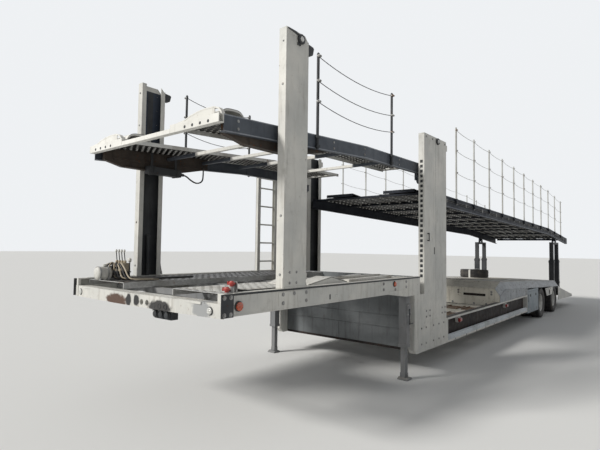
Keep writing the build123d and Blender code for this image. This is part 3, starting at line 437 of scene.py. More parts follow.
class Workpiece:
    """One mesh that is put together from plates, bars, turned shapes and bent tubes."""

    def __init__(self) -> None:
        """Start with nothing."""
        self.mesh = bmesh.new()

    def loft(self, rings: Sequence[Sequence[Vector]], closed: bool = False, caps: bool = True) -> "Workpiece":
        """Skin rings of points.

        Args:
            rings: Rings with the same number of points.
            closed: Whether the last ring joins the first.
            caps: Whether open ends are filled.

        Returns:
            This workpiece.
        """
        made = [[self.mesh.verts.new(p) for p in ring] for ring in rings]
        pairs = list(zip(made, made[1:])) + ([(made[-1], made[0])] if closed else [])
        count = len(made[0])
        for low, high in pairs:
            for i in range(count):
                j = (i + 1) % count
                self.mesh.faces.new((low[i], low[j], high[j], high[i]))
        if caps and not closed:
            self.mesh.faces.new(made[0])
            self.mesh.faces.new(made[-1])
        return self

    def plates(self, *boxes: tuple[float, ...]) -> "Workpiece":
        """Straight bars and plates, each given by its two runs, two sides and two heights.

        Args:
            boxes: Each plate as (run, run, side, side, height, height).

        Returns:
            This workpiece.
        """
        for run_a, run_b, y_a, y_b, z_a, z_b in boxes:
            self.along("z", box((run_a, y_a), (run_b, y_b)), (z_a, z_b))
        return self

    def along(self, axis: str, points: Sequence[Flat], ends: Flat, inner: Sequence[Flat] = ()) -> "Workpiece":
        """Draw an outline out along an axis.

        Args:
            axis: "run" for an outline of (y, z), "y" for one of (run, z) and "z" for one of (run, y).
            points: The outline.
            ends: Where it starts and ends.
            inner: A second outline with as many points, for a shape that is hollow from end to end.

        Returns:
            This workpiece.
        """
        place = {"run": lambda u, v, end: at(end, u, v), "y": lambda u, v, end: at(u, end, v), "z": at}[axis]
        rings = [(points, ends[0]), (points, ends[1])]
        if inner:
            rings += [(inner, ends[1]), (inner, ends[0])]
        return self.loft([[place(u, v, end) for u, v in shape] for shape, end in rings], bool(inner))

    def sheet(self, line: Sequence[Flat], sides: Flat, thickness: float) -> "Workpiece":
        """A sheet that follows a line of (run, z) points, with its thickness below the line.

        Args:
            line: Its top face.
            sides: Its two sides.
            thickness: Its thickness.

        Returns:
            This workpiece.
        """
        rings = [[at(run, sides[0], z), at(run, sides[1], z), at(run, sides[1], z - thickness),
                at(run, sides[0], z - thickness)] for run, z in line]
        return self.loft(rings)

    def channel(self, line: Sequence[Flat], sides: Flat, depth: float, sheet: float) -> "Workpiece":
        """A folded channel under a line of (run, z) points.

        Args:
            line: Its top edge.
            sides: The outer face of its web and the tips of its flanges.
            depth: How deep it is.
            sheet: The thickness of its sheet.

        Returns:
            This workpiece.
        """
        web, tip = sides
        inner = web + math.copysign(sheet, tip - web)
        return self.loft([[at(run, y, z - drop) for y, drop in ((web, 0.0), (tip, 0.0), (tip, sheet),
                (inner, sheet), (inner, depth - sheet), (tip, depth - sheet), (tip, depth), (web, depth))]
                for run, z in line])

    def lug(self, points: Sequence[Flat], centre: Flat, radius: float, sides: Flat) -> "Workpiece":
        """A standing plate with eight corners and a round hole.

        Args:
            points: Its corners as (run, z), from the rear one downwards and round.
            centre: The hole's middle as (run, z).
            radius: The hole's radius.
            sides: Its two faces.

        Returns:
            This workpiece.
        """
        hole = [(centre[0] + radius * math.cos(TAU * i / 8), centre[1] - radius * math.sin(TAU * i / 8))
            for i in range(8)]
        return self.along("y", points, sides, hole)

    def rod(self, start: Vector, end: Vector, radius: float, sides: int = 10,
            end_radius: float | None = None) -> "Workpiece":
        """A round bar between two points, tapered if it has an end radius.

        Args:
            start: The middle of one end.
            end: The middle of the other.
            radius: Its radius at the start.
            sides: How many flats it has.
            end_radius: Its radius at the end, if that differs.

        Returns:
            This workpiece.
        """
        turn = (end - start).to_track_quat("Z", "Y")
        sizes = (radius, radius if end_radius is None else end_radius)
        return self.loft([[point
                + turn @ Vector((size * math.cos(TAU * i / sides), size * math.sin(TAU * i / sides), 0))
                for i in range(sides)] for point, size in zip((start, end), sizes)])

    def turned(self, outline: Sequence[Flat], centre: Vector, axis: Point, sides: int = 24,
            ring: bool = False) -> "Workpiece":
        """A shape turned on a lathe.

        Args:
            outline: Points of (radius, distance along the axis).
            centre: Where the axis starts.
            axis: The direction of the axis.
            sides: How many flats the turning has.
            ring: Whether the outline closes on itself, as a tyre's does.

        Returns:
            This workpiece.
        """
        turn = Vector(axis).to_track_quat("Z", "Y")
        rings = [[centre
                + turn @ Vector((radius * math.cos(TAU * i / sides), radius * math.sin(TAU * i / sides),
                along)) for i in range(sides)] for radius, along in outline]
        return self.loft(rings, closed=ring)

    def mirrored(self) -> "Workpiece":
        """Add the same shapes on the other side of the trailer.

        Returns:
            This workpiece.
        """
        twin = self.mesh.copy()
        bmesh.ops.scale(twin, vec=(1, -1, 1), verts=twin.verts)
        bmesh.ops.reverse_faces(twin, faces=twin.faces)
        spare = bpy.data.meshes.new("twin")
        twin.to_mesh(spare)
        twin.free()
        self.mesh.from_mesh(spare)
        bpy.data.meshes.remove(spare)
        return self

    def data(self, name: str) -> bpy.types.Mesh:
        """The finished mesh, with its faces turned outwards.

        Args:
            name: The mesh's name.

        Returns:
            The mesh.
        """
        bmesh.ops.recalc_face_normals(self.mesh, faces=self.mesh.faces)
        mesh = bpy.data.meshes.new(name)
        self.mesh.to_mesh(mesh)
        self.mesh.free()
        return mesh


def publish(mesh: bpy.types.Mesh, name: str, finish: Finish, body: str, stands_for: Iterable[str] = (),
        bevel: float = 0.0, smooth: float = 35.0) -> None:
    """Put a finished mesh into the scene.

    Args:
        mesh: The mesh, in the row frame.
        name: The piece's name.
        finish: What it is made of.
        body: The CAD body that it rides on.
        stands_for: The CAD nodes that it replaces.
        bevel: The width of its rounded edges, or 0 for none.
        smooth: The angle in degrees under which edges look smooth.
    """
    piece = bpy.data.objects.new(name, mesh)
    mesh.name = name
    bpy.context.scene.collection.objects.link(piece)
    mesh.materials.clear()
    mesh.materials.append(finish.material)
    mesh.polygons.foreach_set("use_smooth", [True] * len(mesh.polygons))
    mesh.set_sharp_from_angle(angle=math.radians(smooth))
    if bevel:
        edges = piece.modifiers.new("edges", "BEVEL")
        edges.width = bevel
        edges.segments = 2
        edges.limit_method = "ANGLE"
        edges.use_clamp_overlap = True
    if stands_for:
        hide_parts(*stands_for)
    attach(piece, body)
    log.info("%s: %d faces on %s", name, len(mesh.polygons), body)


@dataclass
class Finish:
    """A built material and the record's slot that it belongs to."""

    material: bpy.types.Material
    slot: Slot

    @classmethod
    def of(cls, made_from: Any) -> "Finish":
        """Build a finish from one of the frozen descriptions."""
        return cls(made_from.material(), made_from.slot)


class Tree(Nodes):
    """A Geometry Nodes tree with named inputs, which ends in Realize Instances and Set Material."""

    def __init__(self, name: str, inputs: dict[str, str]) -> None:
        """Start a tree.

        Args:
            name: The tree's name.
            inputs: The kind of socket for each named input.
        """
        super().__init__(bpy.data.node_groups.new(name, "GeometryNodeTree"))
        sides = self.tree.interface
        sides.new_socket("Geometry", in_out="INPUT", socket_type="NodeSocketGeometry")
        self.names = {}
        for label, kind in {**inputs, "Material": "Material"}.items():
            item = sides.new_socket(label, in_out="INPUT", socket_type="NodeSocket" + kind)
            self.names[label] = item.identifier
        sides.new_socket("Geometry", in_out="OUTPUT", socket_type="NodeSocketGeometry")
        self.given = self.tree.nodes.new("NodeGroupInput").outputs

    def maths(self, operation: str, first: Any, second: Any = 0.0) -> Any:
        """The outcome of a Math node."""
        return self.node("ShaderNodeMath", {0: first, 1: second}, operation=operation).outputs[0]

    def places(self) -> Any:
        """The X, Y and Z of each point."""
        position = self.node("GeometryNodeInputPosition", {}).outputs[0]
        return self.node("ShaderNodeSeparateXYZ", {0: position}).outputs

    def xyz(self, **axes: Any) -> Any:
        """A vector from its X, Y and Z."""
        return self.node("ShaderNodeCombineXYZ", axes).outputs[0]

    def moved(self, geometry: Any, offset: Any) -> Any:
        """The geometry, moved by an offset."""
        return self.node("GeometryNodeSetPosition", {"Geometry": geometry, "Offset": offset}).outputs[0]

    def copies(self, part: str, points: Any, **turned: Any) -> Any:
        """A copy of the named part on each point, turned or scaled by further inputs.

        Args:
            part: The input that names the part.
            points: The points.
            turned: The further inputs, by name.

        Returns:
            The copies' socket.
        """
        shape = self.node("GeometryNodeObjectInfo", {"Object": part}).outputs["Geometry"]
        placed = {"Points": points, "Instance": shape, **turned}
        return self.node("GeometryNodeInstanceOnPoints", placed).outputs[0]

    def line(self, start: str, step: Any) -> Any:
        """A row of points, as many as the input Count says."""
        row = {"Count": "Count", "Start Location": start, "Offset": step}
        return self.node("GeometryNodeMeshLine", row).outputs[0]

    def welded(self, geometry: Any) -> Any:
        """The geometry as one mesh whose copies share their border points."""
        real = self.node("GeometryNodeRealizeInstances", {"Geometry": geometry}).outputs[0]
        return self.node("GeometryNodeMergeByDistance", {"Geometry": real, "Distance": 0.0004}).outputs[0]

    def close(self, geometry: Any) -> "Tree":
        """End the tree.

        Args:
            geometry: What the tree puts out.

        Returns:
            This tree.
        """
        real = self.node("GeometryNodeRealizeInstances", {"Geometry": geometry}).outputs[0]
        painted = self.node("GeometryNodeSetMaterial", {"Geometry": real, "Material": "Material"})
        self.tree.links.new(painted.outputs[0], self.tree.nodes.new("NodeGroupOutput").inputs[0])
        return self

    def grow(self, values: dict[str, Any], finish: Finish,
            host: bpy.types.Mesh | None = None) -> bpy.types.Mesh:
        """Run the tree.

        Args:
            values: A value for each named input.
            finish: What the result is made of.
            host: The mesh that the tree starts from, if it needs one.

        Returns:
            A plain mesh.
        """
        stand = bpy.data.objects.new("stand", host or bpy.data.meshes.new("stand"))
        bpy.context.scene.collection.objects.link(stand)
        modifier = stand.modifiers.new("tree", "NODES")
        modifier.node_group = self.tree
        for label, value in {**values, "Material": finish.material}.items():
            modifier[self.names[label]] = value
        graph = bpy.context.evaluated_depsgraph_get()
        mesh = bpy.data.meshes.new_from_object(stand.evaluated_get(graph))
        stand.modifiers.remove(modifier)
        bpy.data.objects.remove(stand)
        return mesh


class Trees:
    """The five trees of this trailer: perforations, fasteners, strands, rows, and rings round an axle."""

    def __init__(self) -> None:
        """Build the trees."""
        self.sheet = self._sheet()
        self.fasteners = self._fasteners()
        self.strands = self._strands()
        self.row = self._row()
        self.ring = self._ring()

    @staticmethod
    def _sheet() -> Tree:
        """Cells with one hole each in staggered rows, bent to two slopes that meet at a run.

        Returns:
            The tree.
        """
        tree = Tree("perforated sheet", {"Cell": "Object", "Columns": "Int", "Rows": "Int", "Pitch": "Float",
                "Row Pitch": "Float", "Stagger": "Float", "Centre": "Vector", "Bend": "Float",
                "Front Slope": "Float", "Rear Slope": "Float"})
        long = tree.maths("MULTIPLY", tree.maths("SUBTRACT", "Columns", 1.0), "Pitch")
        wide = tree.maths("MULTIPLY", tree.maths("SUBTRACT", "Rows", 1.0), "Row Pitch")
        grid = tree.node("GeometryNodeMeshGrid", {"Size X": long, "Size Y": wide, "Vertices X": "Columns",
                "Vertices Y": "Rows"}).outputs[0]
        from_edge = tree.maths("ADD", tree.places()[1], tree.maths("MULTIPLY", wide, 0.5))
        odd = tree.maths("FLOORED_MODULO", tree.maths("ROUND", tree.maths("DIVIDE", from_edge, "Row Pitch")),
            2.0)
        staggered = tree.moved(grid, tree.xyz(X=tree.maths("MULTIPLY", odd, "Stagger")))
        placed = tree.moved(tree.welded(tree.copies("Cell", staggered)), "Centre")
        ahead = tree.maths("SUBTRACT", tree.places()[0], "Bend")
        rise = tree.maths("ADD", tree.maths("MULTIPLY", tree.maths("MAXIMUM", ahead, 0.0), "Front Slope"),
            tree.maths("MULTIPLY", tree.maths("MINIMUM", ahead, 0.0), "Rear Slope"))
        return tree.close(tree.moved(placed, tree.xyz(Z=rise)))

    @staticmethod
    def _fasteners() -> Tree:
        """One head on each point of the host, turned to the point's facing.

        Returns:
            The tree.
        """
        tree = Tree("fasteners", {"Head": "Object", "Size": "Float"})
        facing = tree.node("GeometryNodeInputNamedAttribute", {}, data_type="FLOAT_VECTOR")
        facing.inputs["Name"].default_value = "facing"
        turn = tree.node("FunctionNodeAlignRotationToVector", {"Vector": facing.outputs[0]}, axis="Z")
        size = tree.xyz(X="Size", Y="Size", Z="Size")
        return tree.close(tree.copies("Head", "Geometry", Rotation=turn.outputs[0], Scale=size))

    @staticmethod
    def _strands() -> Tree:
        """A round strand along each edge of the host, sagging in the middle.

        Returns:
            The tree.
        """
        tree = Tree("strands", {"Radius": "Float", "Sag": "Float", "Parts": "Int", "Flats": "Int"})
        curve = tree.node("GeometryNodeMeshToCurve", {"Mesh": "Geometry"}).outputs[0]
        fine = tree.node("GeometryNodeResampleCurve", {"Curve": curve, "Count": "Parts"}).outputs[0]
        along = tree.node("GeometryNodeSplineParameter", {}).outputs["Factor"]
        drop = tree.maths("MULTIPLY", tree.maths("MULTIPLY", along, tree.maths("SUBTRACT", 1.0, along)),
            tree.maths("MULTIPLY", "Sag", -4.0))
        ring = tree.node("GeometryNodeCurvePrimitiveCircle", {"Resolution": "Flats", "Radius": "Radius"})
        skin = tree.node("GeometryNodeCurveToMesh", {"Curve": tree.moved(fine, tree.xyz(Z=drop)),
                "Profile Curve": ring.outputs[0], "Fill Caps": True})
        return tree.close(skin.outputs[0])

    @staticmethod
    def _row() -> Tree:
        """Copies of a part in a straight row."""
        tree = Tree("row", {"Part": "Object", "Count": "Int", "Start": "Vector", "Step": "Vector"})
        return tree.close(tree.copies("Part", tree.line("Start", "Step")))

    @staticmethod
    def _ring() -> Tree:
        """Copies of a part turned round an axle that lies across the trailer.

        Returns:
            The tree.
        """
        tree = Tree("ring", {"Part": "Object", "Count": "Int", "Centre": "Vector"})
        index = tree.node("GeometryNodeInputIndex", {}).outputs[0]
        turn = tree.xyz(Y=tree.maths("MULTIPLY", index, tree.maths("DIVIDE", TAU, "Count")))
        line = tree.line("Centre", (0.0, 0.0, 0.0))
        return tree.close(tree.welded(tree.copies("Part", line, Rotation=turn)))


@dataclass
class Shop:
    """What every sub-assembly draws on: the finishes, the trees and the small parts that repeat."""

    finishes: dict[str, Finish]
    trees: Trees = field(default_factory=Trees)
    spares: list[bpy.types.Object] = field(default_factory=list)

    def part(self, work: Workpiece, name: str) -> bpy.types.Object:
        """Keep a shape that a tree repeats; it never joins the scene.

        Args:
            work: The shape.
            name: The part's name.

        Returns:
            The part.
        """
        spare = bpy.data.objects.new(name, work.data(name))
        self.spares.append(spare)
        return spare

    def cell(self, pitch: Flat, hole: Flat, thickness: float, finer: int = 1,
            lip: float = 0.0) -> bpy.types.Object:
        """One cell of a perforated sheet.

        Args:
            pitch: The cell's length and width.
            hole: The hole's length and width.
            thickness: The sheet's thickness.
            finer: How many sides of the hole belong to each of the cell's six border points.
            lip: How far the hole's pressed rim hangs below the sheet.

        Returns:
            The cell, which hangs below its own origin.
        """
        mesh = bmesh.new()
        border = [(0.5, -0.5), (0.5, 0.5), (0.0, 0.5), (-0.5, 0.5), (-0.5, -0.5), (0.0, -0.5)]
        count = 6 * finer
        turns = [TAU * (i / count - 1 / 12) for i in range(count)]
        rims = []
        for z, spread in ((0.0, 0.0), (-thickness, 0.003 if lip else 0.0)):
            outer = [mesh.verts.new((x * pitch[0], y * pitch[1], z)) for x, y in border]
            rims.append(self.hole_rim(mesh, turns, hole, z, spread))
            for i in range(6):
                rim = [rims[-1][k % count] for k in range((i + 1) * finer, i * finer - 1, -1)]
                ring = [outer[i], outer[(i + 1) % 6], *rim]
                mesh.faces.new(ring if z == 0 else ring[::-1])
        if lip:
            rims[1:1] = [self.hole_rim(mesh, turns, hole, -thickness - lip, spread)
                for spread in (0.0, 0.003)]
        for high, low in zip(rims, rims[1:]):
            for i in range(count):
                j = (i + 1) % count
                mesh.faces.new((high[i], high[j], low[j], low[i]))
        data = bpy.data.meshes.new("cell")
        mesh.to_mesh(data)
        mesh.free()
        spare = bpy.data.objects.new("cell", data)
        self.spares.append(spare)
        return spare

    @staticmethod
    def hole_rim(mesh: bmesh.types.BMesh, turns: Sequence[float], hole: Flat, z: float,
            spread: float) -> list[bmesh.types.BMVert]:
        """One ring of points round a hole, this much wider than the hole and at this height.

        Args:
            mesh: The mesh that takes the points.
            turns: The points' angles.
            hole: The hole's length and width.
            z: The height.
            spread: How much wider it is.

        Returns:
            The points.
        """
        half_long, half_wide = hole[0] / 2 + spread, hole[1] / 2 + spread
        return [mesh.verts.new((math.copysign(abs(math.cos(a)) ** 0.7, math.cos(a)) * half_long,
                math.copysign(abs(math.sin(a)) ** 0.7, math.sin(a)) * half_wide, z)) for a in turns]

    def row(self, part: bpy.types.Object, count: int, start: Vector, step: Vector,
            finish: str) -> bpy.types.Mesh:
        """Copies of a part in a straight row, as one mesh."""
        return self.trees.row.grow({"Part": part, "Count": count, "Start": start, "Step": step},
            self.finishes[finish])

    def ring(self, part: bpy.types.Object, count: int, centre: Vector, finish: str) -> bpy.types.Mesh:
        """Copies of a part round an axle, as one mesh."""
        return self.trees.ring.grow({"Part": part, "Count": count, "Centre": centre}, self.finishes[finish])

    def clear(self) -> None:
        """Remove the parts that the trees repeated."""
        for spare in self.spares:
            bpy.data.objects.remove(spare)


@dataclass
class Assembly:
    """A sub-assembly, whose pieces ride on one CAD body unless they say otherwise."""

    shop: Shop
    body: str = "chassis"

    def piece(self, work: Workpiece | bpy.types.Mesh, name: str, finish: str, *stands_for: str,
            bevel: float = 0.0, smooth: float = 35.0, body: str = "") -> None:
        """Publish a workpiece or a mesh under one of the named finishes, in place of some CAD nodes."""
        mesh = work.data(name) if isinstance(work, Workpiece) else work
        publish(mesh, name, self.shop.finishes[finish], body or self.body, stands_for, bevel, smooth)

    def dress(self, finish: str, *nodes: str) -> None:
        """Give CAD nodes that keep their shape one of the named finishes.

        Args:
            finish: The finish's name.
            nodes: The nodes' names.
        """
        for name in nodes:
            NODES[name].data.materials.clear()
            NODES[name].data.materials.append(self.shop.finishes[finish].material)
            log.info("%s: keeps its shape, finish %s", name, finish)

    def perforated(self, name: str, runs: Flat, sides: Flat, line: Sequence[Flat], cell: tuple[Flat, Flat],
            finish: str, *stands_for: str, right_finish: str = "", thickness: float = 0.004, finer: int = 1,
            lip: float = 0.0) -> None:
        """Lay a perforated sheet on the left side and one on the right.

        Args:
            name: The pieces' name, without its side.
            runs: Where they start and end behind the nose.
            sides: The left one's two sides.
            line: Their height as (run, z) points, with one bend between two slopes.
            cell: The pitch of their holes and the holes' size.
            finish: The finish's name.
            stands_for: The CAD nodes that they replace.
            right_finish: The right one's finish, if it has another.
            thickness: The sheets' thickness.
            finer: How round the holes are.
            lip: How far the holes' pressed rims hang below the sheet.
        """
        pitch, hole = cell
        columns = round((runs[1] - runs[0]) / pitch[0])
        rows = round((sides[1] - sides[0]) / pitch[1])
        fitted = ((runs[1] - runs[0]) / (columns + 0.5), (sides[1] - sides[0]) / rows)
        bend_run, bend_z = line[1]
        slopes = [(a[1] - b[1]) / (b[0] - a[0]) for a, b in zip(line, line[1:])]
        for side, way, coat in (("left", 1, finish), ("right", -1, right_finish or finish)):
            middle = at((runs[0] + runs[1]) / 2, way * sum(sides) / 2, bend_z)
            middle.x -= fitted[0] / 4
            mesh = self.shop.trees.sheet.grow({"Cell": self.shop.cell(fitted, hole, thickness, finer, lip),
                    "Columns": columns, "Rows": rows, "Pitch": fitted[0], "Row Pitch": fitted[1],
                    "Stagger": fitted[0] / 2, "Centre": middle, "Bend": NOSE - bend_run,
                    "Front Slope": slopes[0], "Rear Slope": slopes[-1]}, self.shop.finishes[coat])
            self.piece(mesh, f"{name}_{side}", coat, *(stands_for if way == 1 else ()), smooth=20)

    def bolts(self, name: str, spots: Sequence[Spot], size: float = 1.0, finish: str = "zinc",
            head: bpy.types.Object | None = None) -> None:
        """Set a bolt head, or another part, on each spot; a size of 1 is a 24 mm head.

        Args:
            name: The piece's name.
            spots: Each head's place and facing.
            size: The scale of the heads.
            finish: The finish's name.
            head: The part, if it is another than the bolt head.
        """
        host = bpy.data.meshes.new("spots")
        host.from_pydata([spot for spot, _ in spots], [], [])
        facing = host.attributes.new("facing", "FLOAT_VECTOR", "POINT")
        facing.data.foreach_set("vector", [c for _, way in spots for c in way])
        heads = {"Head": head or bpy.data.objects["bolt_head"], "Size": size}
        self.piece(self.shop.trees.fasteners.grow(heads, self.shop.finishes[finish], host), name, finish)

    def strands(self, name: str, spans: Sequence[tuple[Vector, Vector]], radius: float, sag: float,
            finish: str = "cable", flats: int = 6, parts: int = 12) -> None:
        """Hang a strand between the two ends of each span.

        Args:
            name: The piece's name.
            spans: The two ends of each strand.
            radius: The strand's radius.
            sag: How far its middle hangs.
            finish: The finish's name.
            flats: How many sides it has.
            parts: How many points each span has.
        """
        host = bpy.data.meshes.new("spans")
        edges = [(2 * i, 2 * i + 1) for i in range(len(spans))]
        host.from_pydata([p for span in spans for p in span], edges, [])
        hung = {"Radius": radius, "Sag": sag, "Parts": parts, "Flats": flats}
        mesh = self.shop.trees.strands.grow(hung, self.shop.finishes[finish], host)
        self.piece(mesh, name, finish, smooth=80)

    def hose(self, name: str, lines: Sequence[Sequence[Vector]], radius: float, finish: str = "hose") -> None:
        """Bend hoses or pipes that are held at both ends, each drawn towards the points of its line.

        Args:
            name: The piece's name.
            lines: The points of each hose.
            radius: The hoses' radius.
            finish: The finish's name.
        """
        curve = bpy.data.curves.new(name, "CURVE")
        curve.dimensions = "3D"
        curve.bevel_depth = radius
        curve.bevel_resolution = 1
        curve.resolution_u = 4
        curve.use_fill_caps = True
        for line in lines:
            spline = curve.splines.new("NURBS")
            spline.points.add(len(line) - 1)
            for point, place in zip(spline.points, line):
                point.co = (*place, 1.0)
            spline.order_u = 3
            spline.use_endpoint_u = True
        stand = bpy.data.objects.new("stand", curve)
        bpy.context.scene.collection.objects.link(stand)
        mesh = bpy.data.meshes.new_from_object(stand.evaluated_get(bpy.context.evaluated_depsgraph_get()))
        bpy.data.objects.remove(stand)
        self.piece(mesh, name, finish, smooth=80)


@dataclass
class Gooseneck(Assembly):
    """The front of the trailer over the tractor: beams, front beam, deck, legs and what is fixed to them."""

    top: float = 1.37
    track_top: float = 1.358
    start_run: float = 0.1503
    end_run: float = 3.6497
    track: Flat = (0.43, 1.1947)
    hole_pitch: Flat = (0.1, 0.064)
    hole: Flat = (0.056, 0.03)
    leg_run: float = 3.34
    leg_side: float = 1.19

    def build(self) -> None:
        """Build the sub-assembly."""
        self.dress("white", "gooseneck_beams")
        self.dress("beam_white", "front_beam")
        self.dress("grey", "neck_rails", "neck_cross_members", "coupling_plate")
        self.deck()
        self.beam_details()
        self.front_details()
        self.stowed()
        self.legs()

    def deck(self) -> None:
        """Two folded tracks with oval holes."""
        edges = Workpiece()
        low, high = self.track
        flat = [(run, self.track_top) for run in (0.0, 2.0, 4.0)]
        # The right-hand track takes a near-black finish where the left one is pale: painted shade.
        self.perforated("gooseneck_track", (self.start_run + 0.03, self.end_run - 0.03),
            (low + 0.012, high - 0.012), flat, (self.hole_pitch, self.hole), "tray", "gooseneck_deck",
            right_finish="walkway_painted_shade", finer=2)
        for y in (low, high - 0.014):
            edges.plates((self.start_run, self.end_run, y, y + 0.014, 1.295, self.track_top + 0.001))
        for run in (self.start_run, self.end_run - 0.034):
            edges.plates((run, run + 0.034, low, high, self.track_top - 0.006, self.track_top + 0.001))
        self.piece(edges.mirrored(), "gooseneck_track_folds", "deck", bevel=0.0015)

    def beam_details(self) -> None:
        """Seams, bolts, edge strips and end plates on the side beams."""
        work = Workpiece()
        work.plates((0.16, 3.648, 1.2735, 1.2765, 1.1815, 1.196), (0.155, 3.64, 1.256, 1.2795, 1.369, 1.3735),
            (0.7, 1.16, 1.2735, 1.2785, 1.215, 1.345), (2.55, 3.3, 1.2735, 1.2785, 1.225, 1.342))
        work.along("y", [(2.76, 1.19), (2.76, 1.215), (3.2, 1.215), (3.2, 1.135)], (1.2735, 1.2785))
        self.piece(work.mirrored(), "gooseneck_side_plates", "white", bevel=0.0015)
        strip = Workpiece()
        strip.plates((0.155, 3.64, 1.2735, 1.2795, 1.352, 1.369), (0.016, 0.15, 1.2735, 1.281, 1.176, 1.368))
        self.piece(strip.mirrored(), "gooseneck_edge_strips", "dark", bevel=0.0015)
        spots = [(at(run, 1.2785, z), LEFT) for run, z in ((0.76, 1.24), (0.76, 1.32), (0.92, 1.32),
                (1.1, 1.24), (1.1, 1.32), (2.62, 1.25), (2.62, 1.32), (3.22, 1.25), (3.22, 1.32),
                (2.92, 1.235), (0.05, 1.2), (0.05, 1.34), (0.12, 1.2), (0.12, 1.34))]
        self.bolts("gooseneck_side_bolts", mirrored_spots(spots))

    def front_details(self) -> None:
        """Lamps, the socket box, an upright and the bolts of the front beam."""
        work = Workpiece()
        work.plates((0.03, 0.062, -1.235, -1.2, 1.172, 1.372))
        for low, high in ((-1.02, -0.72), (0.7, 1.02)):
            work.plates((0.016, 0.04, low, high, 1.27, 1.292))
        self.piece(work, "front_beam_plates", "white", bevel=0.002)
        sockets = Workpiece()
        sockets.plates((0.045, 0.12, 0.315, 0.575, 1.085, 1.169))
        for y in (0.355, 0.445, 0.535):
            sockets.turned([(0.001, 0.0), (0.034, 0.0), (0.034, 0.012), (0.029, 0.015), (0.029, 0.03),
                    (0.022, 0.032), (0.001, 0.032)], at(0.046, y, 1.127), AHEAD, 16)
            sockets.plates((0.008, 0.046, y - 0.026, y + 0.026, 1.157, 1.165))
            sockets.turned([(0.026, 0.0), (0.026, 0.003), (0.02, 0.003), (0.02, 0.0)], at(0.0052, y, 1.205),
                AHEAD, 14, ring=True)
        self.piece(sockets, "front_sockets", "dark", bevel=0.0015)
        lamps, lenses = Workpiece(), Workpiece()
        for y in (1.125, -1.125):
            lamps.turned([(0.001, 0.0), (0.036, 0.0), (0.036, 0.006), (0.03, 0.009), (0.001, 0.009)],
                at(0.034, y, 1.225), AHEAD, 20)
            lenses.turned([(0.03, 0.008), (0.029, 0.014), (0.022, 0.018), (0.001, 0.019)],
                at(0.034, y, 1.225), AHEAD, 20)
        self.piece(lamps, "front_lamp_bases", "dark")
        self.piece(lenses, "front_lamp_lenses", "clear")
        spots = [(at(0.04 * (y / HALF_WIDTH) ** 2, y, z), AHEAD) for y in (-0.86, -0.6, 0.66, 0.9)
            for z in (1.195, 1.25)]
        self.bolts("front_beam_bolts", [(p - Vector((0.008, 0, 0)), w) for p, w in spots], 0.7)

    def stowed(self) -> None:
        """Skids and wheel boards that lie on the left-hand track behind the front column."""
        boards, bars = Workpiece(), Workpiece()
        top = self.track_top
        for low, line in ((0.66, [(1.2, top + 0.012), (1.58, top + 0.12), (1.6, top + 0.118)]),
                (0.92, [(1.3, top + 0.014), (1.72, top + 0.08), (2.02, top + 0.014)])):
            boards.sheet(line, (low, low + 0.22), 0.008)
            for y in (low, low + 0.212):
                boards.along("y", [*line, (line[-1][0], top), (line[0][0], top)], (y, y + 0.008))
        self.piece(boards, "stowed_wheel_boards", "nose_white", bevel=0.001)
        for start, end in (((1.75, 0.86), (3.25, 0.52)), ((1.7, 0.66), (3.45, 0.72)),
                ((2.1, 1.08), (3.3, 0.98))):
            ends = [at(start[0], start[1], top + 0.001), at(end[0], end[1], top + 0.001)]
            across = (ends[1] - ends[0]).cross(Vector(UP)).normalized() * 0.035
            bars.loft([[p - across, p + across, p + across + Vector((0, 0, 0.03)),
                    p - across + Vector((0, 0, 0.03))] for p in ends])
        self.piece(bars, "stowed_skids", "tray", bevel=0.003)

    def legs(self) -> None:
        """Landing legs with a flange, a gearbox, a crank and a pivoted foot."""
        run, y = self.leg_run, self.leg_side
        work = Workpiece()
        work.plates((run - 0.055, run + 0.055, y - 0.055, y + 0.055, 0.43, 1.112),
            (run - 0.078, run + 0.078, y - 0.076, y + 0.076, 1.108, 1.1197),
            (run - 0.061, run + 0.061, y - 0.061, y + 0.061, 0.43, 0.47),
            (run - 0.036, run + 0.036, y - 0.036, y + 0.036, 0.032, 0.44),
            (run - 0.048, run + 0.048, y + 0.052, y + 0.076, 0.86, 1.01))
        work.rod(at(run, y - 0.055, 0.058), at(run, y + 0.055, 0.058), 0.014)
        work.along("y", [(run - 0.075, 0.0), (run + 0.075, 0.0), (run + 0.075, 0.012), (run + 0.045, 0.032),
                (run - 0.045, 0.032), (run - 0.075, 0.012)], (y - 0.065, y + 0.085))
        for edge in (-0.047, 0.041):
            work.plates((run - 0.03, run + 0.03, y + edge, y + edge + 0.006, 0.025, 0.09))
        self.piece(work.mirrored(), "landing_leg_tubes", "grey", "landing_legs", bevel=0.004)
        crank = Workpiece()
        crank.rod(at(run, y + 0.07, 0.935), at(run, y + 0.083, 0.935), 0.014)
        crank.plates((run - 0.006, run + 0.006, y + 0.077, y + 0.083, 0.74, 0.94))
        crank.rod(at(run, y + 0.08, 0.745), at(run + 0.1, y + 0.08, 0.745), 0.01)
        self.piece(crank.mirrored(), "landing_leg_cranks", "dark", bevel=0.001)
        spots = studs((run - 0.036, run + 0.036), (y + 0.076,), (0.875, 0.995))
        self.bolts("landing_leg_bolts", mirrored_spots(spots), 0.55)


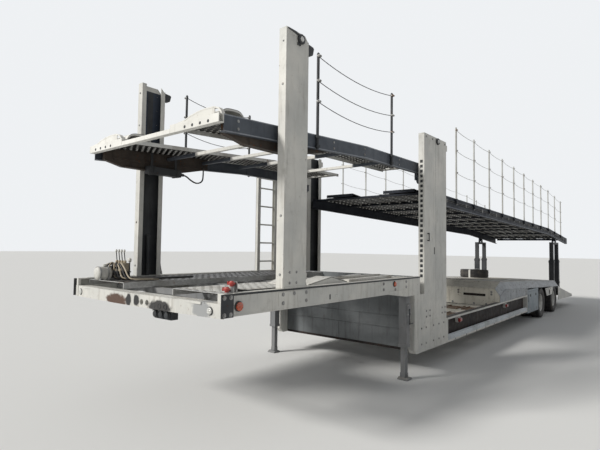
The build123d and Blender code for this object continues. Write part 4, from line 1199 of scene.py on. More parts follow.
@dataclass
class Wheels(Assembly):
    """Four sets of twin tyres with their wheels, and the spare wheel."""

    radius: float = 0.39
    width: float = 0.235
    centres: Flat = (0.85, 1.12)
    rim: float = 0.222
    tyre_flats: int = 56
    disc_holes: int = 10
    spare_run: float = 11.2
    spare_side: float = -0.56

    def tyre_outline(self) -> list[Flat]:
        """A tyre's cross-section as a closed outline of (radius, distance from its middle).

        Returns:
            The outline.
        """
        radius, rim, half = self.radius, self.rim, self.width / 2
        crown = []
        for middle in (-0.066, -0.022, 0.022, 0.066):
            top, groove = radius - 0.001 - abs(middle) * 0.05, radius - 0.012
            crown += [(top, middle - 0.016), (groove, middle - 0.012), (groove, middle + 0.004),
                (top, middle + 0.008)]
        tread = [(radius - 0.006, -0.094), *crown, (radius - 0.006, 0.094)]
        wall = [(radius - 0.03, half - 0.006), (radius - 0.07, half - 0.001), (radius - 0.072, half),
            (radius - 0.1, half - 0.001), (radius - 0.14, half - 0.01), (rim + 0.004, half - 0.022),
            (rim - 0.004, half - 0.03)]
        other = [(r, -y) for r, y in reversed(wall)]
        return other + tread + wall

    def lug(self) -> bpy.types.Object:
        """One pair of shoulder lugs of the tread, at the top of a tyre that stands at the origin.

        Returns:
            The part.
        """
        work = Workpiece()
        profile = ((0.085, 0.01), (0.085, 0.0005), (0.108, 0.008), (0.114, 0.03))
        for side in SIDES:
            work.loft([[Vector((x, side * y, self.radius - drop)) for y, drop in profile]
                    for x in (-0.013, 0.013)])
        return self.shop.part(work, "lug")

    def disc_sector(self) -> bpy.types.Object:
        """A tenth of a wheel disc, with one hand hole.

        Returns:
            The part.
        """
        work = Workpiece()
        mesh = work.mesh
        half = math.pi / self.disc_holes
        inner, middle, outer = 0.095, 0.165, 0.206
        hole, flats = 0.026, 8
        levels = []
        for y in (0.012, -0.012):
            border = []
            for radius, turn in ((outer, -half), (outer, 0.0), (outer, half), (middle, half), (inner, half),
                    (inner, 0.0), (inner, -half), (middle, -half)):
                border.append(mesh.verts.new((radius * math.sin(turn), y, radius * math.cos(turn))))
            rim = []
            for i in range(flats):
                angle = TAU * (3 / 8 - i / flats)
                rim.append(mesh.verts.new((hole * math.cos(angle), y, middle + 0.8 * hole * math.sin(angle))))
            levels.append((border, rim))
            for i in range(flats):
                j = (i + 1) % flats
                face = (border[i], border[j], rim[j], rim[i])
                mesh.faces.new(face if y < 0 else face[::-1])
        for i in range(flats):
            j = (i + 1) % flats
            mesh.faces.new((levels[0][1][i], levels[0][1][j], levels[1][1][j], levels[1][1][i]))
        return self.shop.part(work, "sector")

    def rim_shell(self, work: Workpiece, centre: Vector, side: int) -> None:
        """Turn the wells of both rims and the hub of one wheel set.

        Args:
            work: The workpiece that takes them.
            centre: The middle of the disc.
            side: 1 for the left side, -1 for the right.
        """
        axis = (0.0, float(side), 0.0)
        well = ((0.2195, 0.0), (0.2215, 0.004), (0.2195, 0.02), (0.206, 0.045), (0.206, 0.15),
            (0.2195, 0.175), (0.2215, 0.19), (0.2195, 0.195), (0.212, 0.19), (0.2, 0.155), (0.2, 0.04),
            (0.212, 0.006))
        for start in (0.03, -0.225):
            work.turned([(radius, start + along) for radius, along in well], centre, axis, 40, ring=True)
        hub = [(0.02, 0.16), (0.06, 0.158), (0.072, 0.15), (0.078, 0.13), (0.08, 0.05), (0.1, 0.04),
            (0.104, 0.013), (0.098, -0.013), (0.098, -0.2), (0.047, -0.2), (0.047, 0.12), (0.02, 0.13)]
        work.turned(hub, centre, axis, 28, ring=True)

    def nut(self, side: int) -> bpy.types.Object:
        """A wheel nut that faces one side, at the top of the bolt circle of a wheel at the origin.

        Args:
            side: 1 for the left side, -1 for the right.

        Returns:
            The part.
        """
        work = Workpiece()
        work.turned([(0.001, 0.034), (0.008, 0.034), (0.008, 0.022), (0.016, 0.02), (0.016, 0.0),
                (0.001, 0.0)], Vector((0, 0, 0.1275)), (0, side, 0), 6)
        return self.shop.part(work, "nut")

    def build(self) -> None:
        """Build the sub-assembly."""
        lug, sector = self.lug(), self.disc_sector()
        for side, name in ((1, "left"), (-1, "right")):
            nut = self.nut(side)
            for axle, run in zip(("front", "rear"), AXLE_RUNS):
                body = f"{axle}_{name}_wheels"
                work = Workpiece()
                for centre in (at(run, side * y, self.radius) for y in self.centres):
                    work.turned(self.tyre_outline(), centre, LEFT, self.tyre_flats, ring=True)
                    work.mesh.from_mesh(self.shop.ring(lug, self.tyre_flats, centre, "tyre"))
                self.piece(work, f"treaded_tyres_{axle}_{name}", "tyre", f"tyres_{axle}_{name}", body=body)
                disc = Workpiece()
                middle = at(run, side * sum(self.centres) / 2, self.radius)
                self.rim_shell(disc, middle, side)
                disc.mesh.from_mesh(self.shop.ring(sector, self.disc_holes, middle, "rim"))
                self.piece(disc, f"pressed_wheels_{axle}_{name}", "rim", f"wheel_{axle}_{name}", body=body)
                nuts = self.shop.ring(nut, self.disc_holes, middle + Vector((0, 0.012 * side, 0)), "zinc")
                self.piece(nuts, f"wheel_nuts_{axle}_{name}", "zinc", body=body)
        self.spare()

    def spare(self) -> None:
        """The spare wheel, lying on the raised deck under a strap."""
        axis = Vector((-RAISED_FALL, 0, 1)).normalized()
        foot = at(self.spare_run, self.spare_side, between(self.spare_run, RAISED_LINE) + 0.0005)
        centre = foot + axis * self.width / 2
        tyre = Workpiece()
        tyre.turned(self.tyre_outline(), centre, axis, self.tyre_flats, ring=True)
        self.piece(tyre, "spare_tyre", "tyre", "spare_wheel")
        wheel = Workpiece()
        wheel.turned([(0.2195, 0.097), (0.2215, 0.092), (0.206, 0.06), (0.206, -0.06), (0.2215, -0.092),
                (0.2195, -0.097), (0.212, -0.092), (0.2, -0.056), (0.2, 0.056), (0.212, 0.092)], centre, axis,
            40, ring=True)
        wheel.turned([(0.202, -0.02), (0.202, -0.032), (0.17, -0.03), (0.105, -0.01), (0.08, -0.01),
                (0.08, 0.002), (0.108, 0.002), (0.172, -0.018)], centre, axis, 40, ring=True)
        self.piece(wheel, "spare_wheel_disc", "rim")
        strap = Workpiece()
        reach = self.radius + 0.004
        top = self.width + 0.004
        line = [(-reach, 0.0), (-reach, top - 0.02), (-reach + 0.03, top), (reach - 0.03, top),
            (reach, top - 0.02), (reach, 0.0)]
        rings = []
        for along, up in line:
            turn = 0.002 if up < top else 0.003
            rings.append([foot + Vector((along + a * turn, b, up + (1 if a > 0 else 0) * 0.003))
                    for a, b in ((-1, -0.025), (1, -0.025), (1, 0.025), (-1, 0.025))])
        strap.loft(rings)
        self.piece(strap, "spare_wheel_strap", "white")


@dataclass
class FrontDeck(Assembly):
    """The front upper deck: rails, nose bar, tracks, wheel stops, posts and cables."""

    body: str = "front_deck"
    line: tuple[Flat, ...] = ((0.1353, 2.887), (2.45, 3.02), (4.08, 3.03))
    track: Flat = (0.43, 1.0697)
    hole_pitch: Flat = (0.075, 0.07)
    hole: Flat = (0.026, 0.024)
    rail_face: float = 1.13
    rail_depth: float = 0.15
    bar_runs: tuple[float, ...] = (1.03, 1.6, 2.3, 3.2)
    left_posts: Flat = (1.42, 3.05)
    right_posts: Flat = (1.42, 2.63)
    post_top: float = 3.85
    pin_run: float = 3.992
    pin_height: float = 2.79

    def build(self) -> None:
        """Build the sub-assembly."""
        self.dress("dark", "front_deck_shoes")
        self.tracks()
        self.frame()
        self.cross_bars()
        self.gear_box()
        self.nose()
        self.wheel_stops()
        self.posts()

    def tracks(self) -> None:
        """Folded tracks with small round holes."""
        edges = Workpiece()
        low, high = self.track
        self.perforated("front_deck_track", (self.line[0][0] + 0.02, self.line[2][0] - 0.02),
            (low + 0.004, high - 0.004), self.line, (self.hole_pitch, self.hole), "upper_deck",
            "front_deck_tracks", lip=0.003)
        for y in (low, high - 0.01):
            rim = [(run, z + 0.001) for run, z in self.line]
            edges.sheet(rim, (y, y + 0.01), 0.045 if y == low else 0.012)
        edges.plates((4.045, 4.08, low, high, 3.0, 3.0305))
        self.piece(edges.mirrored(), "front_deck_track_folds", "upper_deck", bevel=0.0015)

    def frame(self) -> None:
        """Channel rails with keels and the brackets of the rear pins."""
        face = self.rail_face
        rails = Workpiece()
        rails.channel(self.line, (face, face - 0.06), self.rail_depth, 0.008)
        keel_foot = between(0.42, self.line) - 0.215
        keel = [(0.2, between(0.2, self.line) - 0.0063), (1.7, between(1.7, self.line) - 0.0063),
            (1.7, between(1.7, self.line) - self.rail_depth), (1.1, keel_foot), (0.42, keel_foot),
            (0.2, between(0.2, self.line) - self.rail_depth)]
        keels = Workpiece().along("y", keel, (1.012, 1.0695))
        keels.plates((0.45, 1.05, 0.985, 1.012, keel_foot, keel_foot + 0.012))
        keels.along("y", [(0.3, keel[0][1] - 0.1), (0.3, keel[0][1] - 0.128), (1.66, keel_foot + 0.13),
                (1.66, keel_foot + 0.155)], (1.004, 1.012))
        # The keels take a near-black coat: painted shade under the front deck.
        self.piece(keels.mirrored(), "front_deck_keels", "keel_painted_shade", bevel=0.0015)
        run, z = self.pin_run, self.pin_height
        rails.lug([(run + 0.075, z), (run + 0.066, z - 0.052), (run, z - 0.06), (run - 0.066, z - 0.052),
                (run - 0.075, z), (run - 0.15, 2.884), (run, 2.884), (4.08, 2.884)], (run, z), 0.0256,
            (1.105, face))
        rails.turned([(0.0256, -0.026), (0.058, -0.026), (0.058, -0.004), (0.05, 0.0), (0.0256, 0.0)],
            at(run, 1.1045, z), LEFT, 20, ring=True)
        for edge in (run - 0.11, run + 0.055):
            rails.along("y", [(edge, 2.775), (edge + 0.03, 2.775), (edge + 0.03, 2.884), (edge, 2.884)],
                (1.078, 1.105))
        self.piece(rails.mirrored(), "front_deck_rails", "rail_paint", "front_deck_frame", bevel=0.0015)

    def cross_bars(self) -> None:
        """Square cross bars whose ends under the tracks are painted dark as shade, the lighter edges of the
        rails, a painted highlight, and the rails' bolts.
        """
        face = self.rail_face
        bars, ends = Workpiece(), Workpiece()
        for start in self.bar_runs:
            top = between(start, self.line) - 0.0463
            bars.plates((start, start + 0.04, -0.43, 0.43, top - 0.04, top))
            for side in SIDES:
                low, high = sorted((side * 0.43, side * 1.0695))
                ends.plates((start, start + 0.04, low, high, top - 0.04, top))
        self.piece(bars, "front_deck_cross_bars", "white", bevel=0.004)
        # The bar ends under the tracks take the dark rail paint: painted shade.
        self.piece(ends, "front_deck_bar_ends", "rail_paint", bevel=0.004)
        # Lighter flange strips paint a highlight along the rails' edges.
        flange = Workpiece()
        for drop in (-0.001, self.rail_depth - 0.01):
            flange.sheet([(r, h - drop) for r, h in self.line], (face - 0.004, face + 0.0015), 0.011)
        self.piece(flange.mirrored(), "front_deck_rail_edges", "rail_edge_highlight", bevel=0.001)
        spots = [(at(r, face, between(r, self.line) - d), LEFT) for r in (0.3, 1.1, 1.75, 2.4, 3.3, 3.75)
            for d in (0.04, 0.11)]
        self.bolts("front_deck_rail_bolts", mirrored_spots(spots), 0.7)

    def gear_box(self) -> None:
        """A long box under the right-hand track, with the air hose that leaves it."""
        work = Workpiece()
        work.plates((0.71, 1.18, -1.004, -0.9, 2.645, 2.735), (1.18, 1.2, -0.985, -0.919, 2.66, 2.72))
        work.rod(at(1.2, -0.952, 2.69), at(1.25, -0.952, 2.688), 0.02, 12)
        for run in (0.76, 1.11):
            work.plates((run, run + 0.03, -1.0115, -0.893, 2.638, 2.742),
                (run, run + 0.03, -0.96, -0.944, 2.742, between(run, self.line) - 0.01))
        self.piece(work, "front_deck_gear_box", "dark", bevel=0.003)
        self.hose("front_deck_gear_hose",
            [[at(1.24, -0.952, 2.688), at(1.29, -0.952, 2.686), at(1.36, -0.955, 2.64), at(1.47, -0.96, 2.6),
                at(1.58, -0.97, 2.64), at(1.6, -0.98, 2.74), at(1.602, -0.985, 2.84)]], 0.01)

    def nose(self) -> None:
        """The nose bar with open tubes at its ends, and dark discs that paint the shade in its holes."""
        work = Workpiece()
        corners = front, low, back, high = 0.075, 2.807, 0.135, 2.887
        work.plates((front, back, 0.0, 0.43, low, 2.852))
        outer, inner = (box(corners[:2], corners[2:], inset) for inset in (0.0, 0.009))
        work.along("y", outer, (0.43, 1.13), inner)
        for y in (0.43, 0.6, 0.8):
            work.plates((front + 0.004, back - 0.004, y, y + 0.006, low + 0.004, high - 0.004))
        self.piece(work.mirrored(), "front_deck_nose_bar", "nose_white", bevel=0.003)
        spots = [(at(0.0745, side * y, 2.835), AHEAD) for y in (0.66, 0.77, 0.88, 0.99) for side in SIDES]
        disc = Workpiece()
        disc.turned([(TIP, 0.0012), (0.013, 0.0012), (0.015, 0.0)], Vector(), UP, 14)
        self.bolts("front_deck_nose_holes", spots, 1.0, "dark", self.shop.part(disc, "hole_mark"))

    def wheel_stops(self) -> None:
        """Arched wheel stops, with the plates and hoops at their front."""
        stops = Workpiece()
        start, end, height = 0.155, 0.455, 0.078
        arc = []
        for i in range(13):
            run = start + (end - start) * i / 12
            arc.append((run, between(run, self.line) + 0.006 + height * (1 - (2 * i / 12 - 1) ** 4)))
        stops.sheet(arc, (0.47, 1.0497), 0.005)
        for y in (0.47, 1.0417):
            stops.along("y",
                [*arc, *((run, max(z - 0.02, between(run, self.line) + 0.0003)) for run, z in arc[::-1])],
                (y, y + 0.008))
        crest = [(0.5, 2.905), (0.6, 2.914), (0.68, 2.94), (0.79, 2.96), (0.9, 2.97)]
        hoop = [*crest, (1.021, 2.966), (1.086, 2.945), (1.121, 2.906), (1.128, 2.8865)]
        inside = [(1.114, 2.8865), (1.108, 2.9), (1.076, 2.934), (1.015, 2.954),
            *((y, z - 0.012) for y, z in crest[::-1])]
        stops.mirrored()
        for shift in (0.0, -1.628):
            for outline, runs in (([(0.5, 2.8865), (1.03, 2.8865), (1.03, 2.963), *crest[::-1]],
                        (0.112, 0.118)), ([*inside[::-1], *hoop[::-1]], (0.11, 0.15))):
                stops.along("run", [(y + shift, z) for y, z in outline], runs)
        self.piece(stops, "front_deck_wheel_stops", "nose_white", "wheel_stops", smooth=50)

    def posts(self) -> None:
        """Guard posts with clamps and eyes, and the cables between them."""
        work, eyes, spans = Workpiece(), [], []
        for side, runs in ((1, self.left_posts), (-1, self.right_posts)):
            y = side * (self.rail_face + 0.0173)
            tops = []
            for run in runs:
                foot = between(run, self.line) - self.rail_depth - 0.01
                work.rod(at(run, y, foot), at(run, y, self.post_top - 0.012), 0.016, 12)
                work.rod(at(run, y, self.post_top - 0.012), at(run, y, self.post_top), 0.016, 12, 0.006)
                for drop in (0.03, 0.125):
                    z = between(run, self.line) - drop
                    low, high = sorted((side * self.rail_face, y + side * 0.02))
                    work.plates((run - 0.026, run + 0.026, low, high, z - 0.012, z + 0.012))
                tops.append([at(run, y, h) for h in (3.81, 3.54, 3.315)])
                eyes += [(at(run, y, h), (0.0, float(side), 0.0)) for h in (3.81, 3.54, 3.315)]
            spans += list(zip(*tops))
        self.piece(work, "front_deck_guard_posts", "dark", "front_deck_posts", bevel=0.001)
        self.bolts("front_deck_post_eyes", eyes, 1.0, "zinc", bpy.data.objects["cable_eye"])
        self.strands("front_deck_guard_cables", spans, 0.0045, 0.07)


@dataclass
class RearDeck(Assembly):
    """The rear upper deck: rails, members, floor, posts and cables."""

    body: str = "rear_deck"
    line: tuple[Flat, ...] = ((4.3, 2.655), (12.45, 2.407), (15.2, 2.17))
    reach: float = 1.0897
    rail_face: float = 1.15
    rail_depth: float = 0.18
    hole_pitch: Flat = (0.122, 0.218)
    hole: Flat = (0.028, 0.028)
    member_pitch: float = 1.02
    member_count: int = 11
    post_first: float = 5.3
    post_pitch: float = 0.88
    post_count: int = 11
    post_last: float = 14.6
    clip_first: float = 4.45
    clip_pitch: float = 0.44
    clip_count: int = 24
    pin_run: float = 13.42
    pin_height: float = 2.085

    def build(self) -> None:
        """Build the sub-assembly."""
        self.dress("dark", "rear_deck_shoes")
        self.perforated("rear_deck_floor", (4.32, 15.18), (0.0, self.reach - 0.004), self.line,
            (self.hole_pitch, self.hole), "upper_deck", "rear_deck_plates", thickness=0.003, lip=0.02)
        self.rails()
        self.members()
        self.posts()

    def rails(self) -> None:
        """Channel rails with a lighter lower flange that paints a highlight, and the brackets of the pins."""
        face, run, z = self.rail_face, self.pin_run, self.pin_height
        work = Workpiece()
        work.channel(self.line, (face, face - 0.06), self.rail_depth, 0.008)
        tops = [between(r, self.line) - 0.172 for r in (run - 0.15, run, run + 0.15)]
        work.lug([(run + 0.09, z), (run + 0.07, z - 0.045), (run, z - 0.045), (run - 0.07, z - 0.045),
                (run - 0.09, z), (run - 0.15, tops[0]), (run, tops[1]), (run + 0.15, tops[2])], (run, z),
            0.0256, (1.075, 1.125))
        work.plates((15.186, 15.199, -0.002, self.reach, 2.106, 2.1695))
        self.piece(work.mirrored(), "rear_deck_side_rails", "rear_rail", "rear_deck_rails", bevel=0.0015)
        # Lighter strips at the rails' edges: painted highlight.
        flange = Workpiece()
        for drop, height in ((-0.001, 0.01), (self.rail_depth - 0.016, 0.0165)):
            flange.sheet([(r, h - drop) for r, h in self.line], (face - 0.004, face + 0.002), height)
        self.piece(flange.mirrored(), "rear_deck_rail_edges", "rear_edge_highlight", bevel=0.001)
        clips = Workpiece()
        for index in range(self.clip_count):
            start = self.clip_first + self.clip_pitch * index
            top = between(start, self.line) - 0.05
            clips.plates((start, start + 0.022, face, face + 0.014, top - 0.06, top))
        self.piece(clips.mirrored(), "rear_deck_pipe_clips", "zinc", bevel=0.001)
        runs = [4.4 + self.clip_pitch * i for i in range(self.clip_count + 1)]
        lines = [[at(r, side * (face + 0.008), between(r, self.line) - drop - (0.012 if i % 2 else 0.0))
                for i, r in enumerate(runs)] for side in SIDES for drop in (0.06, 0.085)]
        self.hose("rear_deck_pipes", lines, 0.006)

    def members(self) -> None:
        """Channel cross members, and the flap at the front of the floor."""
        work = Workpiece()
        for index in range(self.member_count):
            run = self.line[0][0] + 0.02 + index * self.member_pitch
            top = between(run + 0.05, self.line) - 0.0065
            sides = (-self.reach, self.reach)
            work.plates((run, run + 0.006, *sides, top - 0.034, top),
                (run, run + 0.05, *sides, top - 0.006, top),
                (run, run + 0.05, *sides, top - 0.034, top - 0.028))
        self.piece(work, "rear_deck_cross_members", "rear_rail", "rear_deck_members", bevel=0.001)
        flap = Workpiece()
        flap.sheet([(4.33, 2.712), (4.76, 2.668)], (0.3, 0.86), 0.006)
        flap.sheet([(4.33, 2.712), (4.336, 2.7115)], (0.3, 0.86), 0.05)
        flap.rod(at(4.762, 0.29, 2.66), at(4.762, 0.87, 2.66), 0.01)
        self.piece(flap.mirrored(), "rear_deck_flaps", "rear_rail", bevel=0.001)

    def posts(self) -> None:
        """Guard posts with sockets and eyes, and three cables along each side."""
        work, eyes, spans = Workpiece(), [], []
        sockets = Workpiece()
        y = self.rail_face + 0.0173
        for side in SIDES:
            before = None
            for index in range(self.post_count):
                run = self.post_first + index * self.post_pitch
                rail = between(run, self.line)
                share = (run - self.post_first) / (self.post_last - self.post_first)
                top = rail + 1.23 - 0.17 * share
                work.rod(at(run, side * y, rail - 0.085), at(run, side * y, top - 0.01), 0.0145, 10)
                work.rod(at(run, side * y, top - 0.01), at(run, side * y, top), 0.0145, 10, 0.006)
                low, high = sorted((side * self.rail_face, side * (y + 0.019)))
                sockets.plates((run - 0.022, run + 0.022, low, high, rail - 0.09, rail - 0.005))
                spots = [at(run, side * y, rail + share_up * (top - rail)) for share_up in (0.36, 0.67, 0.96)]
                eyes += [(spot, (0.0, float(side), 0.0)) for spot in spots]
                if before:
                    spans += list(zip(before, spots))
                before = spots
        self.piece(work, "rear_deck_guard_posts", "pale_post", "rear_deck_posts")
        self.piece(sockets, "rear_deck_post_sockets", "rear_rail", bevel=0.002)
        self.bolts("rear_deck_post_eyes", eyes, 0.85, "zinc", bpy.data.objects["cable_eye"])
        self.strands("rear_deck_guard_cables", spans, 0.004, 0.022, "pale_post", 5, 6)


@dataclass
class LowBed(Assembly):
    """The low bed between the gooseneck and the wheels."""

    line: tuple[Flat, ...] = ((3.6583, 1.358), (4.75, 0.616), (7.35, 0.616))
    track: Flat = (0.43, 1.1747)
    hole_pitch: Flat = (0.19, 0.094)
    hole: Flat = (0.13, 0.045)
    pocket: Flat = (4.67, 9.44)

    def build(self) -> None:
        """Build the sub-assembly."""
        self.bulkhead()
        self.dress("white", "low_sills")
        self.dress("grey", "low_rails", "low_cross_members")
        self.tracks()
        self.covers()
        self.sills()
        self.pipes()

    def bulkhead(self) -> None:
        """The bulkhead, with a thin panel and a dark trim on its front; its dark grey coat is painted shade
        on a white-painted wall.
        """
        self.dress("bulkhead_painted_shade", "bulkhead")
        panel, trim = Workpiece(), Workpiece()
        panel.plates((3.644, 3.6498, -1.165, 1.165, 0.61, 0.776))
        trim.plates((3.6445, 3.6498, -1.165, 1.165, 0.313, 0.347))
        for z in (0.6, 0.776):
            panel.plates((3.6395, 3.6498, -1.168, 1.168, z, z + 0.009))
        trim.plates((3.647, 3.6498, -0.1, -0.0982, 0.347, 0.6))
        self.piece(panel, "bulkhead_panel", "bulkhead_painted_shade", bevel=0.002)
        self.piece(trim, "bulkhead_trim", "shade_and_trim_black", bevel=0.0005)

    def tracks(self) -> None:
        """Folded tracks with long holes, down the ramp and along the bed."""
        edges = Workpiece()
        low, high = self.track
        self.perforated("low_track", (self.line[0][0] + 0.02, self.line[2][0] - 0.02),
            (low + 0.004, high - 0.004), self.line, (self.hole_pitch, self.hole), "tray", "low_tracks",
            thickness=0.005, finer=2)
        for y in (low, high - 0.01):
            edges.sheet([(run, z + 0.001) for run, z in self.line], (y, y + 0.01), 0.041)
        self.piece(edges.mirrored(), "low_track_folds", "tray", bevel=0.0015)

    def covers(self) -> None:
        """Cover plates across the bed in a lighter white that paints the light on them, and the rusty pans of
        the wheel wells between them.
        """
        plates, pans = Workpiece(), Workpiece()
        top = self.line[1][1]
        for run in (4.95, 5.95, 6.85):
            plates.plates((run, run + 0.34, 0.0, self.track[1] - 0.004, top + 0.0005, top + 0.0055),
                (run, run + 0.012, 0.0, self.track[1] - 0.004, top - 0.02, top + 0.012))
        for run in (5.34, 6.34):
            for y in (0.48, 0.85):
                pans.plates((run, run + 0.48, y, y + 0.29, top + 0.0005, top + 0.0035))
                for edge in (y, y + 0.28):
                    pans.plates((run, run + 0.48, edge, edge + 0.01, top, top + 0.022))
        self.piece(plates.mirrored(), "bed_cover_plates", "sunlit_white", bevel=0.0015)
        self.piece(pans.mirrored(), "bed_wheel_pans", "rusty", bevel=0.002)

    def sills(self) -> None:
        """Dark sheets that paint the shade in the sills' channels, a pale lower band, the walkway on top in
        near black that paints its shade, lamps and bolts.
        """
        start, end = self.pocket
        # Near-black sheets in the sills' channels paint the shade there.
        recess_shade = Workpiece()
        recess_shade.plates((start + 0.004, end - 0.004, 1.1832, 1.185, 0.345, 0.655),
            (start + 0.004, end - 0.004, 1.1832, 1.23, 0.64, 0.65))
        self.piece(recess_shade.mirrored(), "sill_linings", "shade_and_trim_black", bevel=0.001)
        band = Workpiece()
        band.along("run", [(1.235, 0.418), (1.235, 0.414), (1.27, 0.395), (1.27, 0.312), (1.2748, 0.312),
                (1.2748, 0.398)], (start, end))
        self.piece(band.mirrored(), "sill_lower_bands", "band_zinc", bevel=0.001)
        # The walkway is near black: painted shade on the sill's top.
        self.perforated("sill_walkway", (4.61, 7.33), (1.18, 1.268),
            [(4.592, 0.6945), (6.0, 0.6974), (9.48, 0.7045)], ((0.05, 0.044), (0.03, 0.02)), "walkway_painted_shade",
            thickness=0.003)
        lamps = Workpiece()
        for run in (5.24, 7.9):
            lamps.plates((run - 0.05, run + 0.05, 1.23, 1.262, 0.56, 0.622),
                (run - 0.042, run + 0.042, 1.262, 1.27, 0.567, 0.615))
        self.piece(lamps.mirrored(), "sill_lamps", "red_lens", bevel=0.004)
        rib = Workpiece()
        for run in (5.24, 7.9):
            rib.plates((run - 0.06, run + 0.06, 1.184, 1.231, 0.552, 0.64))
        for run in (3.6, 4.55):
            rib.plates((run, run + 0.035, 1.2735, 1.2775, 0.345, 0.66))
        self.piece(rib.mirrored(), "sill_brackets", "white", bevel=0.002)
        spots = studs((3.7, 3.85, 4.1, 4.3, 4.48), (BOLT_FACE,), (0.42, 0.64))
        spots += studs([4.95 + 0.5 * i for i in range(9)], (BOLT_FACE,), (0.325,))
        self.bolts("sill_bolts", mirrored_spots(spots), 0.8)

    def pipes(self) -> None:
        """Air and oil pipes along the bed, held down by the cross members."""
        z = 0.592
        lines = [[at(3.72, y, 0.9), at(3.8, y, z), at(4.6, y, z), at(6.0, y + 0.01, z - 0.008), at(7.0, y, z),
                at(7.33, y, z)] for y in (-0.36, -0.33, -0.3, 0.34)]
        self.hose("bed_pipes", lines, 0.011)


@dataclass
class Rear(Assembly):
    """The raised deck over the wheels, the tail, the lockers and the running gear."""

    line: tuple[Flat, ...] = ((7.3503, 0.97), *RAISED_LINE)
    plate_foot: float = 0.616
    half_width: float = 1.175
    shoulder_drop: float = 0.15
    locker_runs: Flat = (9.51, 10.56)
    tail_line: tuple[Flat, ...] = ((13.3, 0.65), (15.1, 0.35))
    seam_first: float = 8.55
    seam_pitch: float = 0.9
    seam_count: int = 5
    ramp_bars: int = 14

    def build(self) -> None:
        """Build the sub-assembly."""
        self.dress("grey", "main_rails", "bogie_members", "tail_members")
        self.dress("white", "tail_frame", "mudguards")
        self.dress("dark", "axles", "brake_drums", "hangers", "trailing_arms", "post_sleeves", "lift_rods")
        self.front_plate()
        self.top()
        self.shoulders()
        self.lockers()
        self.running_gear()
        self.tail()

    def front_plate(self) -> None:
        """The plate across the front of the raised deck, with a long slot on each side."""
        work = Workpiece()
        low, high = self.plate_foot, self.line[0][1]
        runs = (7.3503, 7.3563)
        work.along("run", box((0.0, low), (self.half_width, high)), runs, box((0.53, 0.802), (0.985, 0.852)))
        work.along("run", [(self.half_width, 0.7), (HALF_WIDTH - 0.001, 0.7),
                (HALF_WIDTH - 0.001, high - self.shoulder_drop), (self.half_width, high)], runs)
        work.plates((7.34, 7.352, 0.0, self.half_width, high - 0.03, high - 0.004))
        # The front plate takes the lighter sunlit white: painted light.
        self.piece(work.mirrored(), "raised_front_plate", "sunlit_white", "raised_deck", bevel=0.002)
        spots = studs(runs[:1], (0.424, 1.105), (0.85, 0.9), AHEAD)
        spots += studs(runs[:1], (0.1, 0.3, 0.75, 1.0), (0.645,), AHEAD)
        self.bolts("raised_front_bolts", mirrored_spots(spots), 1.1)
        # Dark plates behind the slots paint the shade inside them.
        dark = Workpiece()
        dark.plates((7.362, 7.366, 0.5, 1.02, 0.77, 0.88))
        self.piece(dark.mirrored(), "raised_front_backing", "shade_and_trim_black")

    def top(self) -> None:
        """The slope, the middle cover with its seams, and the perforated tracks."""
        work = Workpiece()
        (run_a, z_a), (run_b, z_b), (run_c, z_c) = self.line
        work.sheet(self.line[:2], (0.0, self.half_width), 0.006)
        work.sheet(self.line[1:], (0.0, 0.44), 0.006)
        for run in (run_b + 0.002, run_c - 0.045):
            z = between(run, self.line)
            work.sheet([(run, z + 0.0012), (run + 0.04, between(run + 0.04, self.line) + 0.0012)],
                (0.0, self.half_width), 0.007)
        for index in range(self.seam_count):
            run = self.seam_first + self.seam_pitch * index
            work.sheet([(run, between(run, self.line) + 0.004),
                    (run + 0.045, between(run + 0.045, self.line) + 0.004)], (0.0, 0.43), 0.006)
        for y in (0.43, self.half_width - 0.012):
            work.sheet([(run_b, z_b + 0.001), (run_c, z_c + 0.001)], (y, y + 0.012), 0.04)
        # The cover takes the lighter sunlit white: painted light.
        self.piece(work.mirrored(), "raised_deck_cover", "sunlit_white", bevel=0.001)
        # Near-black sheets paint the shade in recesses of the raised deck.
        pans = Workpiece()
        for run, y in ((7.72, 0.02), (8.2, 0.02), (9.1, 0.05)):
            line = [(r, between(r, self.line) + 0.0015) for r in (run, run + 0.36)]
            pans.sheet(line, (y, y + 0.33), 0.001)
        self.piece(pans.mirrored(), "raised_deck_recesses", "shade_and_trim_black")
        middle = 10.0
        bend = [(run_b, z_b), (middle, between(middle, self.line)), (run_c, z_c)]
        self.perforated("raised_track", (run_b + 0.04, run_c - 0.045), (0.44, 1.165), bend,
            ((0.19, 0.0906), (0.13, 0.045)), "tray", thickness=0.005, finer=2)

    def shoulders(self) -> None:
        """Shoulders that slope out from the top, and the side plates below them, in a blue-grey that paints
        their shade.
        """
        work = Workpiece()
        inner, outer, drop = self.half_width, FACE, self.shoulder_drop
        work.loft([[at(run, inner, z), at(run, outer, z - drop), at(run, outer, z - drop - 0.012),
                at(run, inner, z - 0.012)] for run, z in self.line])
        locker = self.locker_runs[0]
        locker_z = between(locker, self.line) - drop
        work.along("y", [(7.3503, 0.6962), (7.3503, self.line[0][1] - drop), (7.68, self.line[1][1] - drop),
                (locker - 0.001, locker_z), (locker - 0.001, 0.7065)], (1.267, outer))
        for run in (8.1, 8.55, 9.0, 9.44):
            z = between(run, self.line) - drop - 0.002
            work.along("y", [(run, 0.708), (run + 0.03, 0.708), (run + 0.03, z - 0.002), (run, z)],
                (outer, HALF_WIDTH + 0.004))
        for run_a, run_b in ((7.7, 9.5), (10.57, 12.99)):
            line = [(run, between(run, self.line) - drop) for run in (run_a, run_b)]
            work.sheet([(run, z + 0.001) for run, z in line], (outer - 0.004, HALF_WIDTH + 0.006), 0.016)
        self.piece(work.mirrored(), "raised_deck_shoulders", "shoulder_painted_shade", bevel=0.0015)
        spots = [(at(run, FACE, between(run, self.line) - 0.2), LEFT) for run in (7.9, 8.3, 8.8, 9.25)]
        spots += studs((11.45, 11.7, 11.98, 12.22), (HALF_WIDTH,), (0.715,))
        spots += studs((9.35,), (FACE,), (0.74, 0.79))
        self.bolts("raised_side_bolts", mirrored_spots(spots), 0.8)

